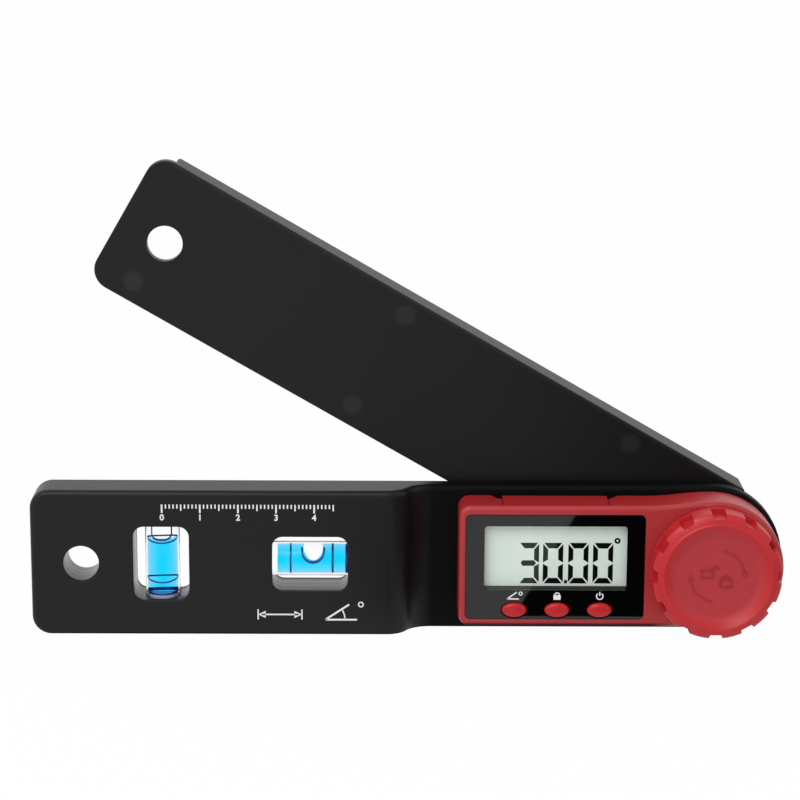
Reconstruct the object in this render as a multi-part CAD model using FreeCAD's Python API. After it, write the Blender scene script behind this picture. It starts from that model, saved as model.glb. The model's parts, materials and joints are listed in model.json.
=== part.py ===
import FreeCAD, Part
import math
import os

V = FreeCAD.Vector

# Digital angle finder: two arms on one pivot, two spirit vials, a display housing
# and a lock knob.  Millimetres.  While a piece is built, X points to the right,
# Y to the back and Z up, the pivot axis runs along Y through X = Z = 0, and the
# back of the lower arm is Y = 0.  save() then moves every piece so that the origin
# lies on the lower reference edge, under the pivot, in the middle of the tongue.

# ---------------------------------------------------------------- arms
ARM_REACH = 180.0          # pivot axis to the tip of either arm
HANG_INSET = 13.3          # tip to the hang holes
HANG_R = 4.7
HALF_WIDTH = 19.75         # pivot axis to the lower arm's reference edges
END_REACH = 19.3           # pivot axis to the lower arm's round end
CORNER_R = 5.0
THICK = 12.0               # the part that holds the vials
TONGUE = 5.0               # the part that carries the housing and the pivot
RAMP_GAP = 7.3             # housing's left side to the foot of the ramp
RAMP = 11.5                # length of the ramp between tongue and thick part
EDGE_R = 1.5               # rounding along the front edges
BACK_EDGE_R = 0.4
WALL = 2.0
REST_ANGLE = 30.0          # opening between the arms as they stand
FULL_ANGLE = 200.0

UPPER_INNER = 18.1         # pivot axis to the upper arm's inner edge
UPPER_END_R = 18.9
UPPER_PLATE = 3.0
ARM_GAP = 0.3              # between the two arms' faces
FLANGE_DEPTH = 11.75       # depth of the upper arm over its flange
FLANGE_WALL = 2.2
FLANGE_END_R = 0.8
TIP_R = 5.5
PAD_R = 3.2                # round pads on the upper arm's back
PAD_H = 0.3
PAD_NEAR = 33.5            # pivot axis to the nearest pads
PAD_MIDDLE = 77.2          # tip to the middle pads
PAD_FAR = 11.0             # tip to the last pads
PAD_INNER = 5.3            # inner edge to the pads beside it
PAD_OUTER = 4.45           # outer edge to the pads beside it

# ---------------------------------------------------------------- back plate
BACK_PLATE = 1.6
LEDGE = 1.0                # width of the ledge that the plate lies on
SIDE_CLEAR = 0.15          # around pieces that drop into a recess
BOSS_R = 2.3
BOSS_SINK = 0.4            # how far a boss runs into the wall beside it
SCREW_R = 0.9
SCREW_HEAD_R = 1.8
SCREW_HEAD_H = 1.0
SCREW_BITE = 5.0

# ---------------------------------------------------------------- vials
WINDOW_LONG = 20.0
WINDOW_SHORT = 14.7
WINDOW_R = 2.8
RIM_EDGE_R = 0.4            # front edges of the windows and the hang hole
WINDOW_WALL = 2.0
PLUMB_INSET = 34.4         # tip to the middle of the upright vial
LEVEL_OFFSET = 20.35       # head of the ramp to the middle of the lying vial
VIAL_R = 4.6
VIAL_BORE = 2.6
VIAL_GRIP = 2.8            # how far each end reaches into its socket
VIAL_GAP = 0.1             # back plate to the vials
VIAL_PLUG = 1.6
VIAL_FIT = 0.05
BUBBLE_R = 2.9
PLUMB_BUBBLE_R = 1.75
PLUMB_BUBBLE_H = 2.6

# ---------------------------------------------------------------- housing
COVER_DEPTH = 11.0         # tongue to the front of the housing
COVER_REACH = 67.2         # pivot axis to the housing's left side
COVER_TOP = 17.1
COVER_BOTTOM = 15.8
COVER_R = 18.3             # round end about the pivot
COVER_CORNER = 3.0
COVER_WALL = 1.8
COVER_SKIN = 2.2           # thickness of the front wall
COVER_EDGE = 1.3
TOP_BLEND = 18.0           # length of the sweep into the round end
BOTTOM_BLEND = 8.0

PANEL_RIGHT = 18.5         # pivot axis to the panel's right edge
PANEL_H = 28.3
PANEL_T = 1.0
PANEL_R = 1.3
PANEL_LEFT = 1.8           # red border left of the panel
PANEL_BELOW = 2.2          # red border under the panel
LCD_H = 17.4               # the visible window
LCD_LEFT = 4.9             # panel edge to window
LCD_RIGHT = 4.6
LCD_ABOVE = 3.0
LCD_R = 0.8
LENS_T = 0.8
GLASS_T = 1.8
GLASS_RIM = 1.5            # glass past the window on each side
BEZEL = 1.0
BOARD_T = 1.2
BOARD_GAP = 4.7            # tongue to the board
ZEBRA = 1.6

BUTTON_W = 6.8
BUTTON_H = 4.2
BUTTON_PROUD = 0.9
BUTTON_TRAVEL = 0.6
BUTTON_PITCH = 11.24
BUTTON_FIRST = 12.9        # panel's left edge to the first button
BUTTON_UP = 2.4            # panel's lower edge to the button centres
BUTTON_CLEAR = 0.2
BUTTON_LIP = 0.6
BUTTON_LIP_T = 0.8
SWITCH_W = 3.4
CHIP_R = 2.6               # resin drop over the chip
CHIP_RISE = 1.2
CHIP_INSET = 2.5           # panel's right edge to the drop
CHIP_DROP = 9.5            # pivot axis down to the drop
CHIP_PART_L = 2.0          # capacitors and resistors
CHIP_PART_W = 1.2
CHIP_PART_T = 0.8
CRYSTAL_W = 3.8
CRYSTAL_H = 5.4
CRYSTAL_T = 1.5

TRAY_W = 27.7              # the tab that closes the slot
TRAY_TAB = 2.0
TRAY_INSET = 25.45         # housing's left side to the middle of the tray
TRAY_T = 4.0
TRAY_CLEAR = 0.25
TRAY_WALL = 1.2
TRAY_FLOOR = 0.4
TRAY_DEPTH = 9.6           # tongue to the front of the tab
NOTCH = 3.0                # thumb notches beside the tab
NOTCH_DROP = 1.3
NOTCH_DEPTH = 3.5
CELL_R = 10.0
CELL_T = 3.2
CELL_FIT = 0.2
CONTACT_T = 0.25

# ---------------------------------------------------------------- pivot
SHAFT_R = 4.0
SHAFT_FIT = 0.05           # running clearance
BUSH_R = 5.5
BUSH_FLANGE_R = 7.0
BUSH_FLANGE = 0.8
WASHER_R = 7.6
WASHER_T = 0.8
NECK = 7.0                 # square neck of the bolt
BOLT_HEAD_R = 7.5
BOLT_HEAD = 2.0
FLATS = 6.4                # across the bolt's two flats
HUB_R = 6.5
HUB_T = 3.7
ROTOR_R = 11.5
ROTOR_T = 0.8
KEY_WASHER_R = 6.0
KEY_WASHER = 0.8
THREAD_R = 3.0
CAP_R = 12.5
CAP_H = 4.0
CAP_WALL = 1.2
STOP_R = 1.4
STOP_REACH = 9.5
STOP_DEPTH = 2.3
STOP_START = -100.0        # the stop pin's angle with the arms folded

KNOB_R = 17.4
KNOB_GAP = 0.3             # between knob and housing
KNOB_FLANGE = 1.1
KNOB_SKIRT_R = 17.2
KNOB_SHOULDER_R = 17.0
KNOB_SHOULDER = 5.8        # knob's back to its shoulder
KNOB_RIM_R = 14.3
KNOB_H = 7.5
KNOB_DISH_R = 11.2
KNOB_DISH = 2.0
KNOB_CORE_R = 7.2
KNOB_SKIN = 1.5
KNOB_GRIPS = 12
GRIP_W = 3.7
GRIP_DEPTH = 1.5
INSERT_R = 4.6
CORE_CLEAR = 0.6           # between knob core and housing

# ---------------------------------------------------------------- worked out
# Depths count forwards from the lower arm's back.
COVER_FRONT = TONGUE + COVER_DEPTH
BOARD_DEPTH = TONGUE + BOARD_GAP
TRAY_FRONT = TONGUE + TRAY_DEPTH
VIAL_DEPTH = BACK_PLATE + VIAL_GAP + VIAL_R
HANG_REACH = ARM_REACH - HANG_INSET
PLUMB_REACH = ARM_REACH - PLUMB_INSET
TONGUE_START = COVER_REACH + RAMP_GAP
LEVEL_REACH = TONGUE_START + RAMP + LEVEL_OFFSET
PAD_REACHES = [PAD_NEAR, ARM_REACH - PAD_MIDDLE, ARM_REACH - PAD_FAR]
KNOB_BACK = COVER_FRONT + KNOB_GAP
KNOB_FRONT = KNOB_BACK + KNOB_H
DISH_FLOOR = KNOB_FRONT - KNOB_DISH
BOLT_END = DISH_FLOOR - KNOB_SKIN
PLATE_BACK = ARM_GAP + UPPER_PLATE
BOARD_FRONT = BOARD_DEPTH + BOARD_T
COVER_INSIDE = COVER_FRONT - COVER_SKIN
HUB_BACK = TONGUE + BUSH_FLANGE + SHAFT_FIT
HUB_FRONT = HUB_BACK + HUB_T
KEY_BACK = HUB_FRONT + SHAFT_FIT
KEY_FRONT = KEY_BACK + KEY_WASHER
INSERT_BACK = KEY_FRONT + SHAFT_FIT
CORE_BACK = BOARD_FRONT + CORE_CLEAR
CAVITY_END = TONGUE_START + RAMP + WALL
PANEL_X = -COVER_REACH + PANEL_LEFT
PANEL_W = -PANEL_RIGHT - PANEL_X
PANEL_Z = -COVER_BOTTOM + PANEL_BELOW
LCD_X = PANEL_X + LCD_LEFT
LCD_W = PANEL_W - LCD_LEFT - LCD_RIGHT
LCD_Z = PANEL_Z + PANEL_H - LCD_ABOVE - LCD_H
BUTTON_Z = PANEL_Z + BUTTON_UP
BUTTON_XS = [PANEL_X + BUTTON_FIRST + n * BUTTON_PITCH for n in range(3)]
TRAY_MID = COVER_REACH - TRAY_INSET
TRAY_BACK = TONGUE + ARM_GAP + TRAY_FLOOR / 2
CELL_Z = COVER_TOP - TRAY_TAB - CELL_R - CELL_FIT


# ---------------------------------------------------------------- helpers
def box(x0, x1, y0, y1, z0, z1):
    """A block between two corners; y is counted backwards from the arm's back."""
    return Part.makeBox(x1 - x0, y1 - y0, z1 - z0, V(x0, y0, z0))


def rod(x, z, radius, y0, y1):
    """A cylinder along Y."""
    return Part.makeCylinder(radius, y1 - y0, V(x, y0, z), V(0, 1, 0))


def ring(x, z, outer, inner, y0, y1):
    return rod(x, z, outer, y0, y1).cut(rod(x, z, inner, y0 - 1, y1 + 1))


def plate(edges, y0, y1):
    """A flat piece between y0 and y1 from edges drawn in the XZ plane."""
    face = Part.Face(Part.Wire(Part.__sortEdges__(edges)))
    face.translate(V(0, y0, 0))
    return face.extrude(V(0, y1 - y0, 0))


def line(p, q):
    return Part.makeLine(V(p[0], 0, p[1]), V(q[0], 0, q[1]))


def arc(p, mid, q):
    return Part.Arc(V(p[0], 0, p[1]), V(mid[0], 0, mid[1]), V(q[0], 0, q[1])).toShape()


def rounded(x0, x1, z0, z1, radius, y0, y1):
    """A block whose four edges along Y are rounded."""
    block = box(x0, x1, y0, y1, z0, z1)
    along = [e for e in block.Edges if abs(e.tangentAt(e.FirstParameter).y) > 0.9]
    return block.makeFillet(radius, along)


def oval(x, z, width, height, y0, y1):
    """An ellipse, wider than it is high, drawn out between y0 and y1."""
    centre = V(x, 0, z)
    side, top = centre + V(width / 2, 0, 0), centre + V(0, 0, height / 2)
    return plate([Part.Ellipse(side, top, centre).toShape()], y0, y1)


def sweep_points(p, q):
    """The five points of an S made of two equal arcs, level at p and at q."""
    dx, dz = q[0] - p[0], q[1] - p[1]
    half = math.atan2(abs(dz), abs(dx))
    radius = abs(dx) / (2 * math.sin(2 * half))
    across = radius * math.sin(half)
    down = radius * (1 - math.cos(half))
    sx, sz = math.copysign(1, dx), math.copysign(1, dz)
    first = (p[0] + sx * across, p[1] + sz * down)
    last = (q[0] - sx * across, q[1] - sz * down)
    return first, ((p[0] + q[0]) / 2, (p[1] + q[1]) / 2), last


def sweep(p, q):
    first, middle, last = sweep_points(p, q)
    return [arc(p, first, middle), arc(middle, last, q)]


def turned(profile):
    """Turns a closed outline of (radius, y) points about the pivot axis."""
    points = [V(r, y, 0) for r, y in profile]
    face = Part.Face(Part.makePolygon(points + points[:1]))
    return face.revolve(V(0, 0, 0), V(0, 1, 0), 360)


def flatted(radius, across, y0, y1):
    """A round bar with two flats, as the bolt and the bores keyed to it have."""
    bar = rod(0, 0, radius, y0, y1)
    return bar.common(box(-radius, radius, y0, y1, -across / 2, across / 2))


def outer_edges(shape, y):
    """The edges of a shape that lie wholly in the plane at y."""
    return [e for e in shape.Edges if abs(e.BoundBox.YMin - y) + abs(e.BoundBox.YMax - y) < 1e-4]


def joined(shapes):
    whole = shapes[0]
    for shape in shapes[1:]:
        whole = whole.fuse(shape)
    return whole.removeSplitter()


def without(shape, *tools):
    for tool in tools:
        shape = shape.cut(tool)
    return shape


def opened(shape):
    """Turns a piece of the upper arm from folded to its resting place."""
    turned_piece = shape.copy()
    turned_piece.rotate(V(0, 0, 0), V(0, 1, 0), REST_ANGLE)
    return turned_piece


def save(name, shape):
    placed = shape.copy()
    placed.translate(V(0, TONGUE / 2, HALF_WIDTH))
    if not placed.isValid():
        raise ValueError(name + " is not a valid shape")
    placed.exportStep("parts/" + name + ".step")


# ---------------------------------------------------------------- lower arm
def arm_outline(y0, y1):
    """The lower arm seen from the front."""
    tip = -ARM_REACH
    edges = [
        line((tip, -HALF_WIDTH), (0, -HALF_WIDTH)),
        arc((0, -HALF_WIDTH), (END_REACH, 0), (0, HALF_WIDTH)),
        line((0, HALF_WIDTH), (tip, HALF_WIDTH)),
        line((tip, HALF_WIDTH), (tip, -HALF_WIDTH)),
    ]
    outline = plate(edges, y0, y1)
    corners = [
        e for e in outline.Edges
        if abs(e.tangentAt(e.FirstParameter).y) > 0.9 and e.BoundBox.XMax < tip + 1
    ]
    return outline.makeFillet(CORNER_R, corners)


def arm_side():
    """The lower arm seen from above: thick, then the ramp, then the tongue."""
    tall = 2 * HALF_WIDTH + 2
    top = (-TONGUE_START - RAMP, -THICK)
    foot = (-TONGUE_START, -TONGUE)
    edges = [
        line((-ARM_REACH - 1, 0), (-ARM_REACH - 1, -THICK)),
        line((-ARM_REACH - 1, -THICK), top),
        *sweep(top, foot),
        line(foot, (END_REACH + 1, -TONGUE)),
        line((END_REACH + 1, -TONGUE), (END_REACH + 1, 0)),
        line((END_REACH + 1, 0), (-ARM_REACH - 1, 0)),
    ]
    side = plate(edges, 0, tall)
    side.rotate(V(0, 0, 0), V(1, 0, 0), -90)
    side.translate(V(0, 0, tall / 2))
    return side


def front_rim(shape):
    """The edges round the front of the arm, along thick part, ramp and tongue."""
    rim = []
    for e in shape.Edges:
        b = e.BoundBox
        level = abs(b.ZMax - b.ZMin) < 1e-4 and abs(abs(b.ZMax) - HALF_WIDTH) < 1e-4
        end = b.XMin < -ARM_REACH + CORNER_R + 1e-4 and b.YMax < -THICK + 1e-4
        nose = b.XMax > 1 and b.YMax < -TONGUE + 1e-4
        if b.YMax < -1 and (level or end or nose) and b.YMax - b.YMin < THICK - TONGUE:
            rim.append(e)
    return rim


def opening_rims(shape):
    """The front edges of the windows and of the hang hole."""
    high, tip = HALF_WIDTH - EDGE_R, -HANG_REACH - HANG_R
    return [
        e for e in outer_edges(shape, -THICK)
        if e.BoundBox.ZMax < high and e.BoundBox.ZMin > -high and e.BoundBox.XMin > tip - 0.1
    ]


def arm_body():
    body = arm_outline(-THICK, 0).common(arm_side())
    body = body.makeFillet(EDGE_R, front_rim(body))
    return body.makeFillet(BACK_EDGE_R, outer_edges(body, 0))


def window(reach, upright, grow, y0, y1):
    """A vial window, or with grow its frame."""
    across, high = (WINDOW_SHORT, WINDOW_LONG) if upright else (WINDOW_LONG, WINDOW_SHORT)
    half_x, half_z = across / 2 + grow, high / 2 + grow
    radius = WINDOW_R + grow
    return rounded(-reach - half_x, -reach + half_x, -half_z, half_z, radius, y0, y1)


def vial_rod(reach, upright, radius, length):
    """A cylinder on a vial's axis, centred in its window."""
    if upright:
        start, way = V(-reach, -VIAL_DEPTH, -length / 2), V(0, 0, 1)
    else:
        start, way = V(-reach - length / 2, -VIAL_DEPTH, 0), V(1, 0, 0)
    return Part.makeCylinder(radius, length, start, way)


def socket(reach, upright, clear):
    """The slot, open at the back, that takes a vial's ends."""
    length = WINDOW_LONG + 2 * VIAL_GRIP + 2 * clear
    radius = VIAL_R + clear
    half_x, half_z = (radius, length / 2) if upright else (length / 2, radius)
    slot = box(-reach - half_x, -reach + half_x, -VIAL_DEPTH, -BACK_PLATE, -half_z, half_z)
    return slot.fuse(vial_rod(reach, upright, radius, length))


def socket_frame(reach, upright):
    """The solid frame round a window and its sockets."""
    grip = VIAL_GRIP + WINDOW_WALL
    half = WINDOW_LONG / 2 + grip
    side = VIAL_R + WINDOW_WALL
    half_x, half_z = (side, half) if upright else (half, side)
    block = box(-reach - half_x, -reach + half_x, -THICK + WALL, -BACK_PLATE, -half_z, half_z)
    return window(reach, upright, WINDOW_WALL, -THICK + WALL, -BACK_PLATE).fuse(block)


def pocket_outline(grow, y0, y1):
    """The hollow in the thick part, or with grow the recess for its plate."""
    tip = -ARM_REACH + WALL - grow
    high = HALF_WIDTH - WALL + grow
    radius = CORNER_R - WALL + grow
    return rounded(tip, -CAVITY_END + grow, -high, high, radius, y0, y1)


def plate_screw_places():
    inset = BOSS_R - BOSS_SINK
    side = HALF_WIDTH - WALL - inset
    left = -ARM_REACH + WALL + inset
    right = -CAVITY_END - inset
    return [(x, z) for x in (left, right) for z in (-side, side)]


def housing_screw_places():
    inset = BOSS_R - BOSS_SINK
    diagonal = (COVER_R - COVER_WALL - inset) / math.sqrt(2)
    low = -COVER_BOTTOM + COVER_WALL + inset
    high = COVER_TOP - COVER_WALL - inset
    left = -COVER_REACH + COVER_WALL + inset
    inner = -KNOB_R + BOSS_R / 2
    return [(left, low), (inner, low), (inner, high), (diagonal, diagonal), (diagonal, -diagonal)]


def stop_groove():
    """The arc that the stop pin runs in, as long as the travel."""
    half = STOP_R + ARM_GAP
    start, end = STOP_START, STOP_START + FULL_ANGLE

    def place(radius, angle, ahead=0):
        a = math.radians(angle)
        x = -radius * math.cos(a) + ahead * math.sin(a)
        return x, radius * math.sin(a) + ahead * math.cos(a)

    middle = (start + end) / 2
    outer, inner = STOP_REACH + half, STOP_REACH - half
    edges = [
        arc(place(outer, start), place(outer, middle), place(outer, end)),
        arc(place(outer, end), place(STOP_REACH, end, half), place(inner, end)),
        arc(place(inner, end), place(inner, middle), place(inner, start)),
        arc(place(inner, start), place(STOP_REACH, start, -half), place(outer, start)),
    ]
    return plate(edges, -STOP_DEPTH - ARM_GAP, 1)


def tray_body_half():
    return CELL_R + CELL_FIT + TRAY_WALL


def tray_rails():
    """The two ribs on the tongue that guide the battery tray."""
    gap = tray_body_half() + TRAY_CLEAR
    low = CELL_Z - CELL_R
    top = COVER_TOP - TRAY_TAB - 2 * TRAY_CLEAR
    front = -BOARD_DEPTH + SIDE_CLEAR
    rails = []
    for side in (-1, 1):
        near = -TRAY_MID + side * gap
        far = near + side * TRAY_WALL
        rails.append(box(min(near, far), max(near, far), front, -TONGUE + 0.1, low, top))
    return rails


def lower_arm_shell():
    shell = arm_body()
    for rail in tray_rails():
        shell = shell.fuse(rail)
    shell = shell.cut(pocket_outline(0, -THICK + WALL, 1))
    inside = arm_outline(-THICK + WALL / 2, -BACK_PLATE)
    solids = [socket_frame(PLUMB_REACH, True), socket_frame(LEVEL_REACH, False)]
    for x, z in plate_screw_places():
        solids.append(rod(x, z, BOSS_R, -THICK + WALL, -BACK_PLATE))
    for solid in solids:
        shell = shell.fuse(solid.common(inside))
    shell = shell.cut(pocket_outline(LEDGE, -BACK_PLATE, 1))
    shell = shell.fuse(rod(-HANG_REACH, 0, HANG_R + WALL, -THICK + WALL, 0))
    shell = shell.cut(rod(-HANG_REACH, 0, HANG_R, -THICK - 1, 1))
    vials = ((PLUMB_REACH, True), (LEVEL_REACH, False))
    for reach, upright in vials:
        shell = shell.cut(window(reach, upright, 0, -THICK - 1, 1))
    shell = shell.makeFillet(RIM_EDGE_R, opening_rims(shell))
    for reach, upright in vials:
        shell = shell.cut(socket(reach, upright, VIAL_FIT))
    for x, z in plate_screw_places():
        shell = shell.cut(rod(x, z, SCREW_R, -BACK_PLATE - SCREW_BITE, 1))
    for x, z in housing_screw_places():
        shell = shell.cut(rod(x, z, SCREW_R + SIDE_CLEAR, -TONGUE - 1, 1))
        shell = shell.cut(rod(x, z, SCREW_HEAD_R + SIDE_CLEAR, -SCREW_HEAD_H - ARM_GAP, 1))
    shell = shell.cut(rod(0, 0, BUSH_R, -TONGUE - 1, 1))
    shell = shell.cut(rod(0, 0, WASHER_R + SIDE_CLEAR, ARM_GAP - WASHER_T, 1))
    return shell.cut(stop_groove())


def lower_arm_back_plate():
    cover = pocket_outline(LEDGE - SIDE_CLEAR, -BACK_PLATE, 0)
    cover = cover.cut(rod(-HANG_REACH, 0, HANG_R + WALL + SIDE_CLEAR, -BACK_PLATE - 1, 1))
    for reach, upright in ((PLUMB_REACH, True), (LEVEL_REACH, False)):
        cover = cover.cut(window(reach, upright, 0, -BACK_PLATE - 1, 1))
    for x, z in plate_screw_places():
        cover = cover.cut(rod(x, z, SCREW_R + SIDE_CLEAR, -BACK_PLATE - 1, 1))
        cover = cover.cut(rod(x, z, SCREW_HEAD_R + SIDE_CLEAR, -SCREW_HEAD_H, 1))
    return cover


def screw(x, z, head_back, length):
    """A small pan-head screw driven from the back, with a cross slot."""
    head = rod(x, z, SCREW_HEAD_R, head_back - SCREW_HEAD_H, head_back)
    shank = rod(x, z, SCREW_R, head_back - SCREW_HEAD_H - length, head_back - SCREW_HEAD_H)
    body = head.fuse(shank)
    slot, deep = SCREW_HEAD_R * 0.7, SCREW_HEAD_H / 2
    for across, high in ((slot, slot / 4), (slot / 4, slot)):
        body = body.cut(box(x - across, x + across, head_back - deep, head_back + 1, z - high, z + high))
    return body


def back_plate_screws():
    grip = BACK_PLATE - SCREW_HEAD_H + SCREW_BITE
    return Part.makeCompound([screw(x, z, 0, grip) for x, z in plate_screw_places()])


# ---------------------------------------------------------------- vials
def vial_tube(reach, upright):
    length = WINDOW_LONG + 2 * VIAL_GRIP
    tube = vial_rod(reach, upright, VIAL_R, length)
    return tube.cut(vial_rod(reach, upright, VIAL_BORE, length + 2))


def vial_liquid(reach, upright, bubble):
    length = WINDOW_LONG + 2 * VIAL_GRIP - 2 * VIAL_PLUG
    return vial_rod(reach, upright, VIAL_BORE - VIAL_FIT, length).cut(bubble)


def plumb_vial_liquid():
    """The bubble has risen to the upper end of the upright vial."""
    top = WINDOW_LONG / 2 - PLUMB_BUBBLE_H
    height = 2 * VIAL_GRIP + PLUMB_BUBBLE_H
    bubble = Part.makeCylinder(PLUMB_BUBBLE_R, height, V(-PLUMB_REACH, -VIAL_DEPTH, top))
    return vial_liquid(PLUMB_REACH, True, bubble)


def level_vial_liquid():
    bubble = Part.makeSphere(BUBBLE_R, V(-LEVEL_REACH, -VIAL_DEPTH, VIAL_BORE))
    return vial_liquid(LEVEL_REACH, False, bubble)


def vial_end_plugs():
    plugs = []
    offset = WINDOW_LONG / 2 + VIAL_GRIP - VIAL_PLUG / 2
    for reach, upright in ((PLUMB_REACH, True), (LEVEL_REACH, False)):
        for way in (-offset, offset):
            plug = vial_rod(reach, upright, VIAL_BORE, VIAL_PLUG)
            plug.translate(V(0, 0, way) if upright else V(way, 0, 0))
            plugs.append(plug)
    return Part.makeCompound(plugs)


def vial_saddles():
    """The blocks that close the sockets behind the vials' ends."""
    saddles = []
    half = WINDOW_LONG / 2
    far = half + VIAL_GRIP
    wide = VIAL_R
    for reach, upright in ((PLUMB_REACH, True), (LEVEL_REACH, False)):
        bore = vial_rod(reach, upright, VIAL_R + VIAL_FIT, 2 * far + 2)
        for low, high in ((half, far), (-far, -half)):
            if upright:
                block = box(-reach - wide, -reach + wide, -VIAL_DEPTH, -BACK_PLATE, low, high)
            else:
                block = box(-reach + low, -reach + high, -VIAL_DEPTH, -BACK_PLATE, -wide, wide)
            saddles.append(block.cut(bore))
    return Part.makeCompound(saddles)


# ---------------------------------------------------------------- housing
def cover_outline(inset, y0, y1):
    """The housing seen from the front, drawn in by inset."""
    left, top, bottom = -COVER_REACH + inset, COVER_TOP - inset, -COVER_BOTTOM + inset
    r = COVER_R - inset
    edges = [
        line((left, bottom), (left, top)),
        line((left, top), (-TOP_BLEND, top)),
        *sweep((-TOP_BLEND, top), (0, r)),
        arc((0, r), (r, 0), (0, -r)),
        *sweep((0, -r), (-BOTTOM_BLEND, bottom)),
        line((-BOTTOM_BLEND, bottom), (left, bottom)),
    ]
    outline = plate(edges, y0, y1)
    corners = [
        e for e in outline.Edges
        if abs(e.tangentAt(e.FirstParameter).y) > 0.9 and e.BoundBox.XMax < left + 0.01
    ]
    return outline.makeFillet(max(COVER_CORNER - inset, 0.5), corners)


def panel(grow, y0, y1):
    return rounded(
        PANEL_X - grow, PANEL_X + PANEL_W + grow,
        PANEL_Z - grow, PANEL_Z + PANEL_H + grow,
        PANEL_R + grow, y0, y1,
    )


def lcd_window(grow, y0, y1):
    return rounded(
        LCD_X - grow, LCD_X + LCD_W + grow,
        LCD_Z - grow, LCD_Z + LCD_H + grow,
        LCD_R + grow, y0, y1,
    )


def button_holes(grow, y0, y1):
    return [
        oval(x, BUTTON_Z, BUTTON_W + 2 * grow, BUTTON_H + 2 * grow, y0, y1)
        for x in BUTTON_XS
    ]


def tray_slot():
    """The slot in the housing's top for the battery tray's tab."""
    half = TRAY_W / 2 + TRAY_CLEAR
    low = COVER_TOP - max(TRAY_TAB, COVER_WALL) - TRAY_CLEAR
    return box(
        -TRAY_MID - half, -TRAY_MID + half,
        -TRAY_FRONT - TRAY_CLEAR, -TONGUE + 1, low, COVER_TOP + 1,
    )


def thumb_notches():
    """Wedges cut beside the tab so that a nail can lift it."""
    wedges = []
    for side in (-1, 1):
        near = -TRAY_MID + side * TRAY_W / 2
        far = near + side * NOTCH
        edges = [
            line((far, COVER_TOP), (near, COVER_TOP - NOTCH_DROP)),
            line((near, COVER_TOP - NOTCH_DROP), (near, COVER_TOP + 1)),
            line((near, COVER_TOP + 1), (far, COVER_TOP + 1)),
            line((far, COVER_TOP + 1), (far, COVER_TOP)),
        ]
        wedges.append(plate(edges, -TONGUE - NOTCH_DEPTH, -TONGUE + 1))
    return wedges


def board_screw_places():
    between = [(BUTTON_XS[n] + BUTTON_XS[n + 1]) / 2 for n in (0, 1)]
    right = PANEL_X + PANEL_W + BOSS_R / 2
    return [(between[0], BUTTON_Z), (between[1], BUTTON_Z), (right, 0)]


def display_cover():
    outer = cover_outline(0, -COVER_FRONT, -TONGUE)
    outer = outer.makeFillet(COVER_EDGE, outer_edges(outer, -COVER_FRONT))
    cover = outer.cut(cover_outline(COVER_WALL, -COVER_INSIDE, -TONGUE + 1))
    for x, z in housing_screw_places():
        boss = rod(x, z, BOSS_R, -COVER_INSIDE - 0.5, -TONGUE)
        cover = cover.fuse(boss.common(outer))
        cover = cover.cut(rod(x, z, SCREW_R, -TONGUE - SCREW_BITE, -TONGUE + 1))
    for x, z in board_screw_places():
        cover = cover.fuse(rod(x, z, SCREW_R + 0.4, -COVER_INSIDE - 0.5, -BOARD_FRONT))
    cover = cover.cut(panel(SIDE_CLEAR, -COVER_FRONT - 1, -COVER_FRONT + PANEL_T))
    cover = cover.cut(lcd_window(LEDGE, -COVER_FRONT - 1, -COVER_INSIDE + 0.1))
    cover = without(cover, *button_holes(BUTTON_CLEAR, -COVER_FRONT - 1, -COVER_INSIDE + 0.1))
    cover = cover.cut(rod(0, 0, KNOB_CORE_R + CORE_CLEAR, -COVER_FRONT - 1, -COVER_INSIDE + 1))
    cover = without(cover, tray_slot(), *thumb_notches())
    return cover.removeSplitter()


def face_plate():
    """The black front panel, with the display window and the button holes."""
    front, back = -COVER_FRONT, -COVER_FRONT + PANEL_T
    body = panel(0, front, back)
    body = body.cut(lcd_window(0, front - 1, back + 1))
    return without(body, *button_holes(BUTTON_CLEAR, front - 1, back + 1))


def display_lens():
    return lcd_window(-SIDE_CLEAR / 3, -COVER_FRONT, -COVER_FRONT + LENS_T)


def lcd_glass():
    glass = lcd_window(GLASS_RIM, -COVER_INSIDE, -COVER_INSIDE + GLASS_T)
    step = lcd_window(GLASS_RIM, -COVER_INSIDE - 1, -COVER_INSIDE + GLASS_T / 2)
    side, shelf_top = 2 * GLASS_RIM, LCD_Z - GLASS_RIM / 3
    shelf = box(LCD_X - side, LCD_X + LCD_W + side, -COVER_FRONT, 0, LCD_Z - side, shelf_top)
    return glass.cut(step.common(shelf))


def lcd_bezel():
    """The white frame that carries the glass on the board."""
    rim = GLASS_RIM + SIDE_CLEAR
    body = lcd_window(rim + BEZEL, -COVER_INSIDE + GLASS_T / 2, -BOARD_FRONT)
    body = body.cut(lcd_window(rim, -COVER_INSIDE - 1, -COVER_INSIDE + GLASS_T + SIDE_CLEAR / 3))
    inset = ZEBRA + BEZEL
    inner = box(
        LCD_X + inset, LCD_X + LCD_W - inset, -COVER_INSIDE, 0,
        LCD_Z + inset, LCD_Z + LCD_H - inset,
    )
    slots = [box(LCD_X, LCD_X + LCD_W, -COVER_INSIDE, 0, z, z + ZEBRA) for z in zebra_lows()]
    return without(body, inner, *slots)


def zebra_lows():
    return [LCD_Z + 0.1, LCD_Z + LCD_H - ZEBRA - 0.1]


def zebra_strips():
    """The rubber contact strips between glass and board."""
    back = -COVER_INSIDE + GLASS_T
    trim = SIDE_CLEAR
    return Part.makeCompound([
        box(LCD_X + trim, LCD_X + LCD_W - trim, back, -BOARD_FRONT, z + trim, z + ZEBRA - trim)
        for z in zebra_lows()
    ])


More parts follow.
